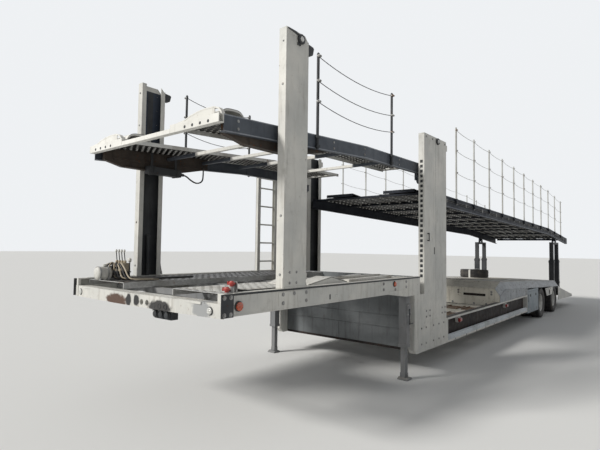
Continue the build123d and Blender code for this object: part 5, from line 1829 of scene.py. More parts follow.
    def lockers(self) -> None:
        """Side lockers in a blue-grey that paints their shade: a folded box, a framed door, hinges, a latch,
        and a dark strip that paints the shade in a handle recess.
        """
        start, end = self.locker_runs
        low, high = 0.265, 0.8158
        work = Workpiece()
        work.plates((start, end, 0.975, 1.264, low, high))
        corners = (start, low), (end, high)
        work.along("y", box(*corners), (1.263, FACE), box(*corners, inset=0.045))
        self.piece(work.mirrored(), "locker_boxes", "locker_painted_shade", "side_lockers", bevel=0.004)
        door = Workpiece()
        door.plates((start + 0.052, end - 0.052, 1.262, 1.2715, low + 0.052, high - 0.052),
            (start + 0.11, end - 0.11, 1.27, FACE, low + 0.11, high - 0.11))
        self.piece(door.mirrored(), "locker_doors", "locker_painted_shade", bevel=0.004)
        metal = Workpiece()
        for run in (start + 0.18, end - 0.18):
            metal.rod(at(run - 0.045, FACE, low + 0.046), at(run + 0.045, FACE, low + 0.046), 0.008)
            metal.plates((run - 0.03, run + 0.03, 1.2715, 1.2765, low + 0.046, low + 0.1))
        self.piece(metal.mirrored(), "locker_hinges", "zinc", bevel=0.001)
        latch = Workpiece()
        for run in (start + 0.26, end - 0.26):
            latch.plates((run - 0.055, run + 0.055, 1.2735, BOLT_FACE, high - 0.175, high - 0.115))
            latch.turned([(TIP, 0.007), (0.016, 0.007), (0.018, 0.0), (TIP, 0.0)],
                at(run, BOLT_FACE, high - 0.145), LEFT, 14)
        # A dark strip paints the shade in the door's handle recess.
        latch.plates((start + 0.075, start + 0.105, 1.271, BOLT_FACE, high - 0.29, high - 0.11))
        self.piece(latch.mirrored(), "locker_latches", "dark", bevel=0.001)

    def running_gear(self) -> None:
        """Air springs with their bellows, brake chambers and air pipes."""
        bags, chambers, lines = Workpiece(), Workpiece(), []
        bellows = [(TIP, 0.0), (0.09, 0.0), (0.09, 0.012), (0.076, 0.022), (0.1, 0.042), (0.109, 0.066),
            (0.101, 0.092), (0.087, 0.108), (0.101, 0.124), (0.109, 0.15), (0.1, 0.176), (0.078, 0.196),
            (0.098, 0.206), (0.098, 0.229), (TIP, 0.229)]
        for run in AXLE_RUNS:
            for side in SIDES:
                bags.turned(bellows, at(run + 0.285, side * 0.46, 0.3303), UP, 24)
                centre = at(run - 0.065, side * 0.3, 0.52)
                chambers.turned([(TIP, 0.0), (0.05, 0.002), (0.068, 0.014), (0.072, 0.04), (0.078, 0.044),
                        (0.078, 0.058), (0.072, 0.062), (0.07, 0.118), (0.052, 0.142), (TIP, 0.146)], centre,
                    AHEAD, 20)
                chambers.rod(centre, centre - Vector((0.12, 0, 0.012)), 0.009)
                chambers.plates((run - 0.07, run + 0.02, side * 0.3 - 0.045, side * 0.3 + 0.045, 0.44, 0.462),
                    (run - 0.07, run - 0.06, side * 0.3 - 0.045, side * 0.3 + 0.045, 0.44, 0.56))
                lines.append([centre + Vector((0.1, 0, 0.07)), centre + Vector((0.18, 0, 0.14)),
                        at(run - 0.4, side * 0.36, 0.64), at(run - 0.55, side * 0.4, 0.66)])
        self.piece(bags, "air_spring_bellows", "tyre", "air_springs")
        self.piece(chambers, "brake_chambers", "dark", bevel=0.0015)
        self.hose("brake_pipes", lines, 0.009)

    def tail(self) -> None:
        """Tail lamps in a housing, bars across the ramp, and collars on the post sleeves."""
        housing, reds, oranges = Workpiece(), Workpiece(), Workpiece()
        corners = (0.795, 0.28), (1.215, 0.34)
        housing.along("run", box(*corners), (15.181, 15.197), box(*corners, inset=0.006))
        housing.plates((15.181, 15.185, 0.8, 1.21, 0.285, 0.335))
        for y, target in ((0.835, reds), (0.905, oranges), (0.975, reds), (1.045, reds), (1.115, oranges),
                (1.18, reds)):
            target.turned([(TIP, 0.0), (0.021, 0.0), (0.022, 0.004), (0.019, 0.01), (TIP, 0.0125)],
                at(15.1845, y, 0.31), (-1, 0, 0), 16)
        self.piece(housing.mirrored(), "tail_lamp_housings", "dark", "tail_lamps", bevel=0.001)
        self.piece(reds.mirrored(), "tail_lamp_red_lenses", "red_lens")
        self.piece(oranges.mirrored(), "tail_lamp_orange_lenses", "orange")
        bar = Workpiece()
        for side in SIDES:
            low, high = sorted((side * 0.2, side * 1.02))
            bar.loft([[Vector((x, y, z)) for x, z in ((-0.012, 0.0), (0.012, 0.0), (0.006, 0.014),
                    (-0.006, 0.014))] for y in (low, high)])
        (run_a, z_a), (run_b, z_b) = self.tail_line
        step = (run_b - run_a - 0.24) / (self.ramp_bars - 1)
        fall = (z_a - z_b) / (run_b - run_a)
        mesh = self.shop.row(self.shop.part(bar, "ramp_bar"), self.ramp_bars,
            at(run_a + 0.12, 0, z_a - fall * 0.12 - 0.001), Vector((-step, 0, -step * fall)), "white")
        self.piece(mesh, "tail_ramp_bars", "white")
        collars = Workpiece()
        for run in (13.07, 13.77):
            corners = (run - 0.074, 1.026), (run + 0.074, 1.174)
            for z in (1.4, 0.76):
                collars.along("z", box(*corners), (z, z + 0.05), box(*corners, inset=0.0095))
        self.piece(collars.mirrored(), "post_sleeve_collars", "dark", bevel=0.002)
        spots = studs((13.03, 13.11, 13.73, 13.81), (1.174,), (1.425, 0.785))
        self.bolts("post_sleeve_bolts", mirrored_spots(spots), 0.6)


@dataclass
class Columns(Assembly):
    """The four guide columns with the painted shade in their guides, ram barrels, lamps and handles."""

    front_runs: Flat = (0.757, 1.094)
    mid_runs: Flat = (3.792, 4.592)
    front_lamp: Flat = (0.965, 3.79)
    mid_lamp: Flat = (4.25, 3.392)

    def build(self) -> None:
        """Build the sub-assembly."""
        self.dress("column_white", "front_columns", "mid_columns")
        self.dress("dark", "front_deck_carriages")
        self.guide_shades()
        self.rams()
        self.front_details()
        self.mid_details()

    def guide_shades(self) -> None:
        """Dark sheets inside the guides, thin enough for the shoes to pass, that paint the shade in the deep
        guide slots.
        """
        upper, lower = Workpiece(), Workpiece()
        low, high = self.front_runs
        for work, z_low, z_high in ((lower, 1.372, 2.84), (upper, 2.84, 3.786)):
            work.plates((low + 0.0095, high - 0.0095, 1.264, 1.2668, z_low, z_high))
            for run in (low + 0.008, high - 0.0105):
                work.plates((run, run + 0.0025, 1.1935, 1.264, z_low, z_high))
        start, end = self.mid_runs
        middle = (start + end) / 2
        for run_a, run_b, heights in ((start, middle, (0.695, 2.06)), (start, middle, (3.32, 3.444)),
                (middle, end, (0.695, 3.444))):
            lower.plates((run_a + 0.0105, run_b - 0.0105, 1.264, 1.2668, *heights))
        for run in (start + 0.008, middle - 0.0105, middle + 0.008, end - 0.0105):
            lower.plates((run, run + 0.0025, 1.1935, 1.264, 0.695, 3.444))
        self.piece(lower.mirrored(), "guide_linings", "dark")
        self.piece(upper.mirrored(), "front_guide_upper_linings", "recess_shade")
        stripes = Workpiece()
        run = sum(self.front_runs) / 2
        stripes.plates((run - 0.04, run + 0.04, 1.2625, 1.2642, 1.38, 3.78))
        self.piece(stripes.mirrored(), "front_guide_rubbing_strips", "dark")
        spots = [(at(run + a, 1.264, 2.98 + 0.19 * i), (0.0, -1.0, 0.0)) for i in range(5)
            for a in (-0.1, 0.1)]
        self.bolts("front_guide_bolts", mirrored_spots(spots), 0.32)

    def rams(self) -> None:
        """The barrels of the lifting rams at the foot of each guide."""
        work = Workpiece()
        for run, low, high in ((sum(self.front_runs) / 2, 1.372, 1.9), (3.992, 0.692, 2.02)):
            work.turned([(TIP, 0.0), (0.026, 0.0), (0.026, 0.02), (0.022, 0.024), (0.022, high - low - 0.04),
                    (0.027, high - low - 0.038), (0.027, high - low - 0.008), (0.014, high - low - 0.006),
                    (TIP, high - low)], at(run, 1.228, low), UP, 16)
        self.piece(work.mirrored(), "lift_ram_barrels", "dark")

    def front_details(self) -> None:
        """Caps, lamps, cables and bolts of the front columns."""
        low, high = self.front_runs
        edges = Workpiece()
        edges.plates((low + 0.002, high - 0.062, 1.2735, 1.2785, 3.815, 3.8485),
            (low - 0.004, low + 0.001, 1.19, 1.272, 1.374, 1.47),
            (low + 0.02, high - 0.02, 1.274, 1.28, 1.376, 1.388))
        self.piece(edges.mirrored(), "front_column_plates", "column_white", bevel=0.0015)
        lamp = at(self.front_lamp[0], FACE, self.front_lamp[1])
        lamps, lenses = Workpiece(), Workpiece()
        lamps.along("y", [(1.0945, 3.8), (1.182, 3.791), (1.198, 3.78), (1.181, 3.708), (1.165, 3.697),
                (1.0945, 3.69)], (1.197, 1.263))
        lamps.plates((1.094, 1.1, 1.19, 1.27, 3.676, 3.81))
        lamps.turned(LAMP_BODY, lamp, LEFT, 20)
        lamps.plates((0.915, 0.96, FACE, 1.285, 3.722, 3.752))
        lamps.along("y", [(0.775, 3.832), (0.86, 3.824), (0.93, 3.812), (0.948, 3.828), (0.905, 3.8485),
                (0.775, 3.8485)], (1.278, 1.282))
        lenses.along("y", [(1.1975, 3.774), (1.2015, 3.774), (1.1865, 3.713), (1.1825, 3.713)],
            (1.204, 1.256))
        lenses.turned(LAMP_LENS, lamp, LEFT, 20)
        self.piece(lamps.mirrored(), "work_lamp_housings", "dark", "work_lamps", bevel=0.003)
        self.piece(lenses.mirrored(), "work_lamp_lenses", "clear", bevel=0.0008)
        lines = []
        for y in (1.215, 1.24):
            lines.append([at(1.097, y, 3.64), at(1.112, y, 3.56), at(1.1, y, 3.38), at(1.106, y, 3.0),
                    at(1.102, y, 2.3), at(1.108, y, 1.7), at(1.1, y, 1.5), at(1.14, y, 1.38)])
        lines += [[Vector((p.x, -p.y, p.z)) for p in line] for line in lines]
        self.hose("front_column_cables", lines, 0.006)
        spots = studs((0.85, 0.95), (BOLT_FACE,), (1.42, 1.52))
        spots += studs((0.757,), (1.235,), (1.5, 2.05, 3.3, 3.72), AHEAD)
        self.bolts("front_column_bolts", mirrored_spots(spots), 0.7)

    def mid_details(self) -> None:
        """Lamps, a handle, seams, a dark plate that paints the shade in a slot, foot plates and bolts of the
        middle columns.
        """
        start, end = self.mid_runs
        middle = (start + end) / 2
        plates = Workpiece()
        plates.plates((start + 0.01, end - 0.01, 1.274, 1.279, 0.694, 0.726),
            (end, end + 0.06, 1.196, 1.268, 3.31, 3.4), (start - 0.003, start + 0.001, 1.262, BOLT_FACE, 0.7,
                3.444))
        self.piece(plates.mirrored(), "mid_column_plates", "column_white", bevel=0.0015)
        dark = Workpiece()
        # The small dark plate at run 4.125 paints the shade in a slot; the long thin one is a seam.
        dark.plates((middle - 0.002, middle + 0.002, 1.274, 1.2754, 0.73, 3.44),
            (4.125, 4.157, 1.274, 1.2756, 1.68, 1.785), (end + 0.004, end + 0.064, 1.205, 1.259, 3.318,
                3.392))
        dark.rod(at(3.9, 1.3, 1.868), at(3.9, 1.3, 1.992), 0.008, 8)
        for z in (1.88, 1.98):
            dark.rod(at(3.9, 1.274, z), at(3.9, 1.302, z), 0.008, 8)
        lamp = at(self.mid_lamp[0], FACE, self.mid_lamp[1])
        dark.turned(LAMP_BODY, lamp, LEFT, 20)
        self.piece(dark.mirrored(), "mid_column_dark_parts", "dark", bevel=0.0005)
        lenses = Workpiece()
        lenses.turned(LAMP_LENS, lamp, LEFT, 20)
        self.piece(lenses.mirrored(), "mid_column_lenses", "clear")
        spots = studs((3.86, 3.98, 4.42, 4.53), (BOLT_FACE,), (0.79, 0.87))
        spots += studs((3.86, 4.08, 4.32, 4.54), (BOLT_FACE,), (3.4,))
        self.bolts("mid_column_bolts", mirrored_spots(spots), 0.8)


@dataclass
class Fittings(Assembly):
    """The small fittings on the gooseneck: valve bank, tank, ladder, coupling heads, marker lamps."""

    deck_top: float = 1.358
    valve_first: float = -1.07
    valve_pitch: float = 0.06
    valve_count: int = 4
    loop_count: int = 9
    tank_side: float = -0.99
    tank_height: float = 1.4335
    ladder_runs: Flat = (2.93, 3.38)
    ladder_heights: Flat = (1.371, 2.898)
    ladder_side: float = -1.245
    rung_first: float = 1.522
    rung_pitch: float = 0.302
    rung_count: int = 5

    def build(self) -> None:
        """Build the sub-assembly."""
        self.valves()
        self.tank()
        self.ladder()
        self.coupling_heads()
        self.beam_marks()
        self.marker_lamps()

    def valves(self) -> None:
        """A bank of four valves with levers, knobs, a gauge and hoses."""
        bodies, metal, knobs, lines, loops = Workpiece(), Workpiece(), Workpiece(), [], []
        shelf, top = 1.452, 1.548
        metal.plates((0.355, 0.485, -1.1, -0.835, self.deck_top, 1.366))
        for y in (-1.092, -0.872):
            metal.plates((0.365, 0.475, y, y + 0.008, 1.366, 1.49))
        metal.plates((0.37, 0.47, -1.096, -0.835, shelf - 0.012, shelf))
        for index in range(self.valve_count):
            y = self.valve_first + self.valve_pitch * index
            bodies.plates((0.376, 0.464, y - 0.0265, y + 0.0265, shelf, top))
            bodies.turned([(TIP, 0.03), (0.012, 0.03), (0.017, 0.022), (0.017, 0.0), (TIP, 0.0)],
                at(0.42, y, top), UP, 12)
            bodies.turned([(TIP, 0.028), (0.011, 0.028), (0.011, 0.012), (0.016, 0.01), (0.016, 0.0),
                    (TIP, 0.0)], at(0.376, y, 1.5), AHEAD, 8)
            tip = at(0.408, y, 1.672)
            metal.rod(at(0.42, y, top + 0.026), tip, 0.0055, 8)
            knobs.turned([(TIP, -0.004), (0.009, 0.0), (0.0125, 0.012), (0.0125, 0.02), (0.008, 0.032),
                    (TIP, 0.036)], tip, UP, 12)
            lines.append([at(0.35, y, 1.5), at(0.318, y, 1.497), at(0.313, y + 0.01 * index, 1.44),
                    at(0.32, y + 0.04, 1.384), at(0.42, -0.8 + 0.024 * index, 1.3765),
                    at(0.7, -0.78 + 0.024 * index, 1.368), at(1.25, -0.76 + 0.022 * index, 1.368)])
        for side in (-1.1, -0.86):
            bodies.plates((0.38, 0.46, side - 0.003, side + 0.003, shelf, 1.54))
        metal.rod(at(0.455, -0.845, shelf - 0.004), at(0.455, -0.845, 1.57), 0.006, 8)
        knobs.turned([(TIP, 0.026), (0.019, 0.026), (0.024, 0.02), (0.025, 0.0), (TIP, 0.0)],
            at(0.462, -0.845, 1.583), AHEAD, 20)
        for index in range(self.loop_count):
            y, way = -1.085 + 0.028 * index, 0.03 * (index - 3)
            loops.append([at(0.374, y, 1.518), at(0.336, y, 1.55 + 0.012 * (index % 3)),
                    at(0.317, y + way, 1.5), at(0.316, y + 1.4 * way, 1.42), at(0.326, y + 1.8 * way, 1.3765),
                    at(0.42, y + 2.2 * way + 0.02, 1.3755), at(0.64, -0.93 + 0.05 * index, 1.3675)])
        self.hose("valve_feed_hoses", loops[::2], 0.0088, "valve_paint")
        self.hose("valve_return_hoses", loops[1::2], 0.0088)
        self.piece(bodies, "valve_bodies", "valve_paint", "valve_bank", bevel=0.002)
        self.piece(metal, "valve_frame_and_levers", "dark", bevel=0.001)
        self.piece(knobs, "valve_knobs", "white", smooth=60)
        self.hose("valve_hoses", lines, 0.0095)

    def tank(self) -> None:
        """The oil tank with domed ends, straps, saddles and a filler."""
        work = Workpiece()
        y, middle = self.tank_side, self.tank_height
        outline = [(TIP, 0.0), (0.04, 0.003), (0.062, 0.011), (0.073, 0.024), (0.0745, 0.034),
            (0.0745, 0.146), (0.073, 0.156), (0.062, 0.169), (0.04, 0.177), (TIP, 0.18)]
        work.turned(outline, at(0.3, y, middle), AHEAD, 32)
        work.turned([(TIP, 0.03), (0.02, 0.03), (0.024, 0.025), (0.024, 0.006), (0.018, 0.004), (0.018, 0.0),
                (TIP, 0.0)], at(0.23, y, 1.505), UP, 16)
        self.piece(work, "oil_tank", "white", "hydraulic_tank")
        metal = Workpiece()
        for run in (0.162, 0.252):
            metal.turned([(0.0748, 0.0), (0.0775, 0.0), (0.0775, 0.018), (0.0748, 0.018)], at(run, y, middle),
                AHEAD, 32, ring=True)
            metal.along("run", [(-1.06, self.deck_top), (-0.92, self.deck_top), (-0.925, 1.392),
                    (-0.955, 1.372), (-0.99, 1.3645), (-1.025, 1.372), (-1.055, 1.392)],
                (run - 0.016, run - 0.002))
        self.piece(metal, "oil_tank_straps", "zinc", bevel=0.0008)

    def ladder(self) -> None:
        """Channel rails with round rungs."""
        rails, rungs = Workpiece(), Workpiece()
        (start, end), side = self.ladder_runs, self.ladder_side
        for run, way in ((start, 1), (end, -1)):
            rails.plates((run, run + way * 0.006, -1.275, -1.217, *self.ladder_heights))
            for y in (-1.275, -1.223):
                rails.plates((run, run + way * 0.058, y, y + 0.006, *self.ladder_heights))
        rails.plates((start, end, -1.262, -1.228, 2.888, 2.899))
        for index in range(self.rung_count):
            z = self.rung_first + self.rung_pitch * index
            rungs.rod(at(2.934, side, z), at(3.376, side, z), 0.0125, 12)
            for run in (2.937, 3.367):
                rungs.turned([(0.02, 0.0), (0.02, 0.006), (0.012, 0.006), (0.012, 0.0)], at(run, side, z),
                    (-1, 0, 0), 12, ring=True)
        self.piece(rails, "ladder_rails", "column_white", "ladder", bevel=0.0012)
        self.piece(rungs, "ladder_rungs", "column_white")

    def coupling_heads(self) -> None:
        """Two coupling heads on a bent bracket, with their hoses."""
        heads, metal, lines = Workpiece(), Workpiece(), []
        metal.plates((0.095, 0.215, 1.178, 1.252, 1.3705, 1.377), (0.209, 0.215, 1.178, 1.252, 1.377, 1.462))
        metal.rod(at(0.182, 1.215, 1.377), at(0.182, 1.215, 1.432), 0.011)
        for run, foot in ((0.128, 1.3775), (0.182, 1.424)):
            heads.turned([(TIP, 0.0), (0.018, 0.0), (0.018, 0.012), (0.029, 0.015), (0.0295, 0.03),
                    (0.021, 0.036), (0.018, 0.043), (TIP, 0.043)], at(run, 1.215, foot), UP, 18)
            heads.plates((run - 0.024, run + 0.024, 1.184, 1.192, foot + 0.01, foot + 0.04))
            lines.append([at(run, 1.205, foot + 0.004), at(run + 0.04, 1.18, foot + 0.006),
                    at(run + 0.12, 1.17, 1.372), at(run + 0.45, 1.168, 1.37), at(run + 0.9, 1.17, 1.37)])
        self.piece(heads, "coupling_head_pair", "red", "coupling_heads", bevel=0.001)
        self.piece(metal, "coupling_head_bracket", "zinc", bevel=0.001)
        self.hose("coupling_hoses", lines, 0.008)

    def beam_marks(self) -> None:
        """A dark plate that paints the shade of a slot, and a reflector, on each side beam."""
        slot, reflector = Workpiece(), Workpiece()
        slot.plates((1.489, 1.509, FACE, 1.277, 1.218, 1.27))
        reflector.plates((1.598, 1.63, FACE, 1.28, 1.228, 1.262))
        self.piece(slot.mirrored(), "beam_slots", "dark", bevel=0.0008)
        self.piece(reflector.mirrored(), "beam_reflectors", "clear", bevel=0.001)

    def marker_lamps(self) -> None:
        """Marker lamps: a rubber base ring and a domed lens."""
        bases, lenses = Workpiece(), Workpiece()
        for run, z, size, deep in ((0.205, 1.262, 0.044, 0.036), (2.895, 1.305, 0.038, 0.03)):
            centre = at(run, FACE, z)
            bases.turned([(TIP, 0.0), (size, 0.0), (size, 0.3 * deep), (0.86 * size, 0.42 * deep),
                    (TIP, 0.42 * deep)], centre, LEFT, 24)
            lenses.turned([(0.84 * size, 0.4 * deep), (0.82 * size, 0.7 * deep), (0.62 * size, 0.92 * deep),
                    (0.3 * size, 0.99 * deep), (TIP, deep)], centre, LEFT, 24)
        self.piece(bases.mirrored(), "marker_lamp_bases", "hose", "marker_lamps")
        self.piece(lenses.mirrored(), "marker_lamp_lenses", "orange")


@dataclass
class Studio:
    """A pale floor, soft light, a pale background, and the camera at the photograph's angle."""

    floor_half: float = 120.0
    floor_tone: Colour = (0.74, 0.74, 0.73)
    sky_tone: Colour = (0.86, 0.88, 0.9)
    sky_strength: float = 0.38
    key_strength: float = 3.25
    key_way: Point = (0.8, -0.42, 0.58)
    spot: Point = (NOSE + 2.439, 4.113, 1.753)
    yaw: float = 0.691
    pitch: float = 0.049
    roll: float = 0.013
    lens: float = 27.68

    def build(self) -> None:
        """Build the studio."""
        self.floor()
        self.light()
        self.camera()
        bpy.context.scene.view_settings.view_transform = "Standard"

    def floor(self) -> None:
        """Lay the floor."""
        half = self.floor_half
        mesh = bpy.data.meshes.new("floor")
        mesh.from_pydata([(-half, -half, 0), (half, -half, 0), (half, half, 0), (-half, half, 0)], [],
            [(0, 1, 2, 3)])
        floor = bpy.data.objects.new("floor", mesh)
        bpy.context.scene.collection.objects.link(floor)
        tone = (*self.floor_tone, 1.0)
        mesh.materials.append(Graph("pale_floor", Base_Color=tone, Roughness=0.9,
                Specular_IOR_Level=0.1).material)

    def light(self) -> None:
        """Set the key lamp and the even light all round."""
        lamp = bpy.data.lights.new("key", "SUN")
        lamp.energy = self.key_strength
        lamp.angle = math.radians(14)
        lamp.color = (1.0, 0.98, 0.94)
        key = bpy.data.objects.new("key", lamp)
        key.rotation_euler = Vector(self.key_way).to_track_quat("Z", "Y").to_euler()
        bpy.context.scene.collection.objects.link(key)
        world = bpy.data.worlds.new("studio")
        bpy.context.scene.world = world
        world.use_nodes = True
        sky = Nodes(world.node_tree)
        back = sky.tree.nodes["Background"]
        rays = sky.node("ShaderNodeLightPath", {}).outputs
        seen = rays["Is Camera Ray"]
        for ray in ("Is Glossy Ray", "Is Transmission Ray"):
            seen = sky.node("ShaderNodeMath", {0: seen, 1: rays[ray]}, operation="MAXIMUM").outputs[0]
        strength = sky.node("ShaderNodeMapRange", {0: seen, 3: self.sky_strength, 4: 1.0})
        sky.tree.links.new(strength.outputs[0], back.inputs["Strength"])
        back.inputs["Color"].default_value = (*self.sky_tone, 1.0)

    def camera(self) -> None:
        """Set the camera where the photograph was taken from."""
        cy, sy = math.cos(self.yaw), math.sin(self.yaw)
        cp, sp = math.cos(self.pitch), math.sin(self.pitch)
        cr, sr = math.cos(self.roll), math.sin(self.roll)
        ahead = Vector((-cy * cp, -sy * cp, sp))
        right, up = Vector((-sy, cy, 0)), Vector((cy * sp, sy * sp, cp))
        right, up = right * cr + up * sr, up * cr - right * sr
        data = bpy.data.cameras.new("camera")
        data.lens = self.lens
        data.sensor_width = 36.0
        data.clip_end = 400.0
        camera = bpy.data.objects.new("camera", data)
        camera.matrix_world = Matrix.Translation(self.spot) @ Matrix((right, up,
                -ahead)).transposed().to_4x4()
        bpy.context.scene.collection.objects.link(camera)
        bpy.context.scene.camera = camera


def finishes() -> dict[str, Finish]:
    """Every finish of the trailer, by name.

    Returns:
        The finishes.
    """
    white = dict(slot=Slot.WHITE, coat=(0.64, 0.625, 0.58), faded=(0.5, 0.5, 0.475),
        grime=(0.25, 0.225, 0.19))
    made = {
        "white": Paint("white_paint", **white, streaks=0.45, chips=0.35),
        "column_white": Paint("column_paint", **white, streaks=0.42, chips=0.25),
        # On the front beam: a brown rust patch, a dark patch over the sockets, two near-black patches in the
        # middle that paint the shade of a cut, and a blue-grey patch by the left lamp that is painted shade.
        "beam_white": Paint("front_beam_paint", **white, streaks=0.5, chips=0.5,
            patches=(Patch((NOSE, -0.3, 1.205), (0.5, 0.26, 0.08), (0.075, 0.038, 0.022)),
                Patch((NOSE, -0.07, 1.225), (0.5, 0.065, 0.075), (0.012, 0.012, 0.012)),
                Patch((NOSE, 0.065, 1.225), (0.5, 0.065, 0.075), (0.012, 0.012, 0.012)),
                Patch((NOSE, 0.45, 1.195), (0.5, 0.22, 0.08), (0.03, 0.028, 0.027)),
                Patch((NOSE, 1.02, 1.23), (0.5, 0.16, 0.1), (0.24, 0.25, 0.26), 0.8))),
        "nose_white": Paint("nose_bar_paint", Slot.WHITE, (0.78, 0.77, 0.73), (0.66, 0.65, 0.61),
            (0.34, 0.31, 0.27), streaks=0.3, chips=0.3),
        # A lighter, warmer copy of the white paint for faces that catch the light: painted light.
        "sunlit_white": Paint("sunlit_white_paint", Slot.WHITE, (0.78, 0.75, 0.66), (0.68, 0.65, 0.57), (0.32, 0.27, 0.2),
            streaks=0.45, chips=0.6),
        # Near black for the keels under the front deck: painted shade.
        "keel_painted_shade": Paint("keel_paint", Slot.GREY, (0.04, 0.033, 0.03), (0.085, 0.07, 0.058),
            (0.02, 0.018, 0.017), shine=0.15, chips=0.8),
        "rusty": Paint("rusty_pan", Slot.DECK, (0.17, 0.1, 0.06), (0.3, 0.24, 0.18), (0.05, 0.035, 0.025),
            rust=(0.1, 0.035, 0.015), chips=1.2, gloss=(0.7, 0.9), shine=0.2),
        "band_zinc": Galvanised("sill_band_zinc", Slot.WHITE, (0.56, 0.59, 0.62), (0.44, 0.47, 0.5),
            (0.24, 0.24, 0.23), metal=0.2),
        # Blue-grey for the raised deck's shoulders and side plates: painted shade.
        "shoulder_painted_shade": Paint("shoulder_paint", Slot.DECK, (0.34, 0.36, 0.38), (0.25, 0.27, 0.29),
            (0.1, 0.095, 0.09), streaks=0.6, chips=0.8),
        # The bulkhead's white paint is given a dark grey coat: painted shade.
        "bulkhead_painted_shade": Paint("bulkhead_painted_shade", Slot.WHITE, (0.17, 0.18, 0.185), (0.125, 0.135, 0.14),
            (0.055, 0.053, 0.05), shine=0.3),
        # Blue-grey coat on the white-slot lockers: painted shade.
        "locker_painted_shade": Paint("locker_painted_shade", Slot.WHITE, (0.27, 0.31, 0.34), (0.2, 0.235, 0.26),
            (0.1, 0.1, 0.1), streaks=0.55),
        "valve_paint": Paint("valve_paint", Slot.GREY, (0.42, 0.36, 0.26), (0.3, 0.24, 0.17),
            (0.1, 0.075, 0.05), chips=0.6, gloss=(0.35, 0.55)),
        "rail_paint": Paint("deck_rail_paint", Slot.GREY, (0.055, 0.064, 0.08), (0.088, 0.1, 0.118),
            (0.024, 0.024, 0.026), dust=(0.2, 0.19, 0.17), streaks=0.5, shine=0.25),
        "rear_rail": Paint("rear_rail_paint", Slot.GREY, (0.015, 0.017, 0.024), (0.03, 0.034, 0.043),
            (0.012, 0.012, 0.013), dust=(0.11, 0.105, 0.1), streaks=0.4, shine=0.12),
        # Lighter rail edges: painted highlight along the rails.
        "rear_edge_highlight": Paint("rear_rail_edge", Slot.GREY, (0.055, 0.064, 0.085), (0.1, 0.115, 0.14),
            (0.03, 0.03, 0.03), chips=0.4),
        "rail_edge_highlight": Paint("deck_rail_edge", Slot.GREY, (0.17, 0.19, 0.22), (0.24, 0.26, 0.29),
            (0.07, 0.07, 0.07), chips=0.5),
        # Blue-black for the sheets in the upper guides: painted shade.
        "recess_shade": Paint("guide_recess_shade", Slot.DARK, (0.03, 0.04, 0.06), (0.055, 0.066, 0.088),
            (0.014, 0.014, 0.016), shine=0.2),
        # Near black for painted shade in channels, slots and recesses, and for the bulkhead's dark trim.
        "shade_and_trim_black": Paint("shade_and_trim_black_paint", Slot.DARK, (0.016, 0.015, 0.016), (0.04, 0.033, 0.03),
            (0.01, 0.009, 0.009), rust=(0.07, 0.03, 0.018), dust=(0.1, 0.085, 0.07), chips=0.9, shine=0.1),
        "pale_post": Galvanised("post_zinc", Slot.DARK, (0.5, 0.5, 0.48), (0.36, 0.36, 0.35),
            (0.2, 0.18, 0.15), metal=0.3, rusty=0.3),
        # The upper decks' undersides are darkened to near black: painted shade.
        "upper_deck": Galvanised("upper_deck_zinc", Slot.DECK, (0.66, 0.66, 0.64), (0.54, 0.54, 0.52),
            (0.26, 0.23, 0.19), metal=0.0, shine=0.12, underside_shade=0.03),
        # Near black for the walkway plates: painted shade.
        "walkway_painted_shade": Galvanised("walkway_plate", Slot.DECK, (0.07, 0.067, 0.064), (0.045, 0.043, 0.042),
            (0.028, 0.025, 0.022), metal=0.1, rusty=0.5),
        "grey": Paint("grey_paint", Slot.GREY, (0.155, 0.16, 0.165), (0.22, 0.22, 0.22), (0.08, 0.075, 0.07)),
        "dark": Paint("dark_steel_paint", Slot.DARK, (0.03, 0.033, 0.037), (0.06, 0.062, 0.065),
            (0.018, 0.017, 0.016), dust=(0.16, 0.145, 0.12), shine=0.22),
        "deck": Galvanised("deck_zinc", Slot.DECK, (0.42, 0.42, 0.41), (0.27, 0.27, 0.265),
            (0.14, 0.125, 0.105)),
        "tray": Galvanised("tray_zinc", Slot.DECK, (0.66, 0.65, 0.61), (0.52, 0.51, 0.48), (0.25, 0.21, 0.16),
            metal=0.15, soiled=0.5),
        "zinc": Galvanised("zinc_fasteners", Slot.DECK, (0.35, 0.35, 0.34), (0.2, 0.2, 0.2),
            (0.1, 0.09, 0.08), metal=0.7, rusty=0.8),
        "cable": Galvanised("steel_rope", Slot.DARK, (0.1, 0.1, 0.105), (0.06, 0.06, 0.065),
            (0.05, 0.045, 0.04), metal=0.6, rusty=0.2),
        "tyre": Rubber("tyre_tread", Slot.RUBBER, (0.022, 0.022, 0.023)),
        "hose": Rubber("hose_rubber", Slot.RUBBER, (0.018, 0.018, 0.019), dusty=0.3, gloss=(0.45, 0.7)),
        "rim": Paint("wheel_paint", Slot.WHEEL, (0.72, 0.72, 0.69), (0.56, 0.55, 0.53), (0.18, 0.15, 0.12),
            streaks=0.6, gloss=(0.35, 0.6)),
        "red": Paint("red_enamel", Slot.RED, (0.46, 0.025, 0.02), (0.36, 0.05, 0.04), (0.1, 0.03, 0.025),
            gloss=(0.3, 0.5)),
        "orange": Lens("orange_lens", Slot.ORANGE, (0.72, 0.1, 0.02)),
        "red_lens": Lens("red_lens", Slot.RED_LENS, (0.42, 0.02, 0.015)),
        "clear": Lens("clear_lens", Slot.WHEEL, (0.8, 0.8, 0.76)),
    }
    return {name: Finish.of(made_from) for name, made_from in made.items()}


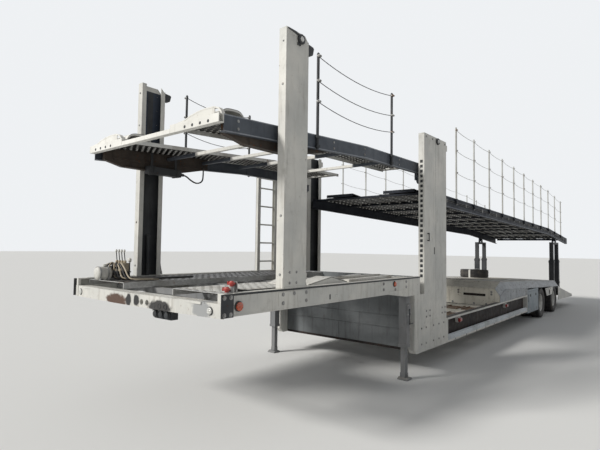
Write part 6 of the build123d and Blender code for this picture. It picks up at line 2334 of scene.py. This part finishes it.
def main() -> None:
    """Build every sub-assembly in order."""
    logging.basicConfig(level=logging.INFO, format="%(message)s")
    Studio().build()
    shop = Shop(finishes())
    head = Workpiece()
    head.turned([(0.0205, 0.0), (0.0205, 0.0025), (TIP, 0.0026)], Vector(), UP, 8)
    head.turned([(0.0135, 0.002), (0.0135, 0.0085), (0.011, 0.0105), (TIP, 0.0106)], Vector(), UP, 6)
    shop.part(head, "bolt_head")
    eye = Workpiece()
    eye.turned([(0.009, -0.018), (0.013, -0.018), (0.013, 0.018), (0.009, 0.018)], Vector((0, 0, 0.022)),
        AHEAD, 10, ring=True)
    eye.turned([(TIP, 0.014), (0.006, 0.013), (0.019, 0.009), (0.019, -0.009), (TIP, -0.009)], Vector(), UP,
        10)
    shop.part(eye, "cable_eye")
    for assembly in (Gooseneck, Columns, LowBed, Rear, Wheels, FrontDeck, RearDeck, Fittings):
        assembly(shop).build()
    shop.clear()


if __name__ == "__main__":
    main()
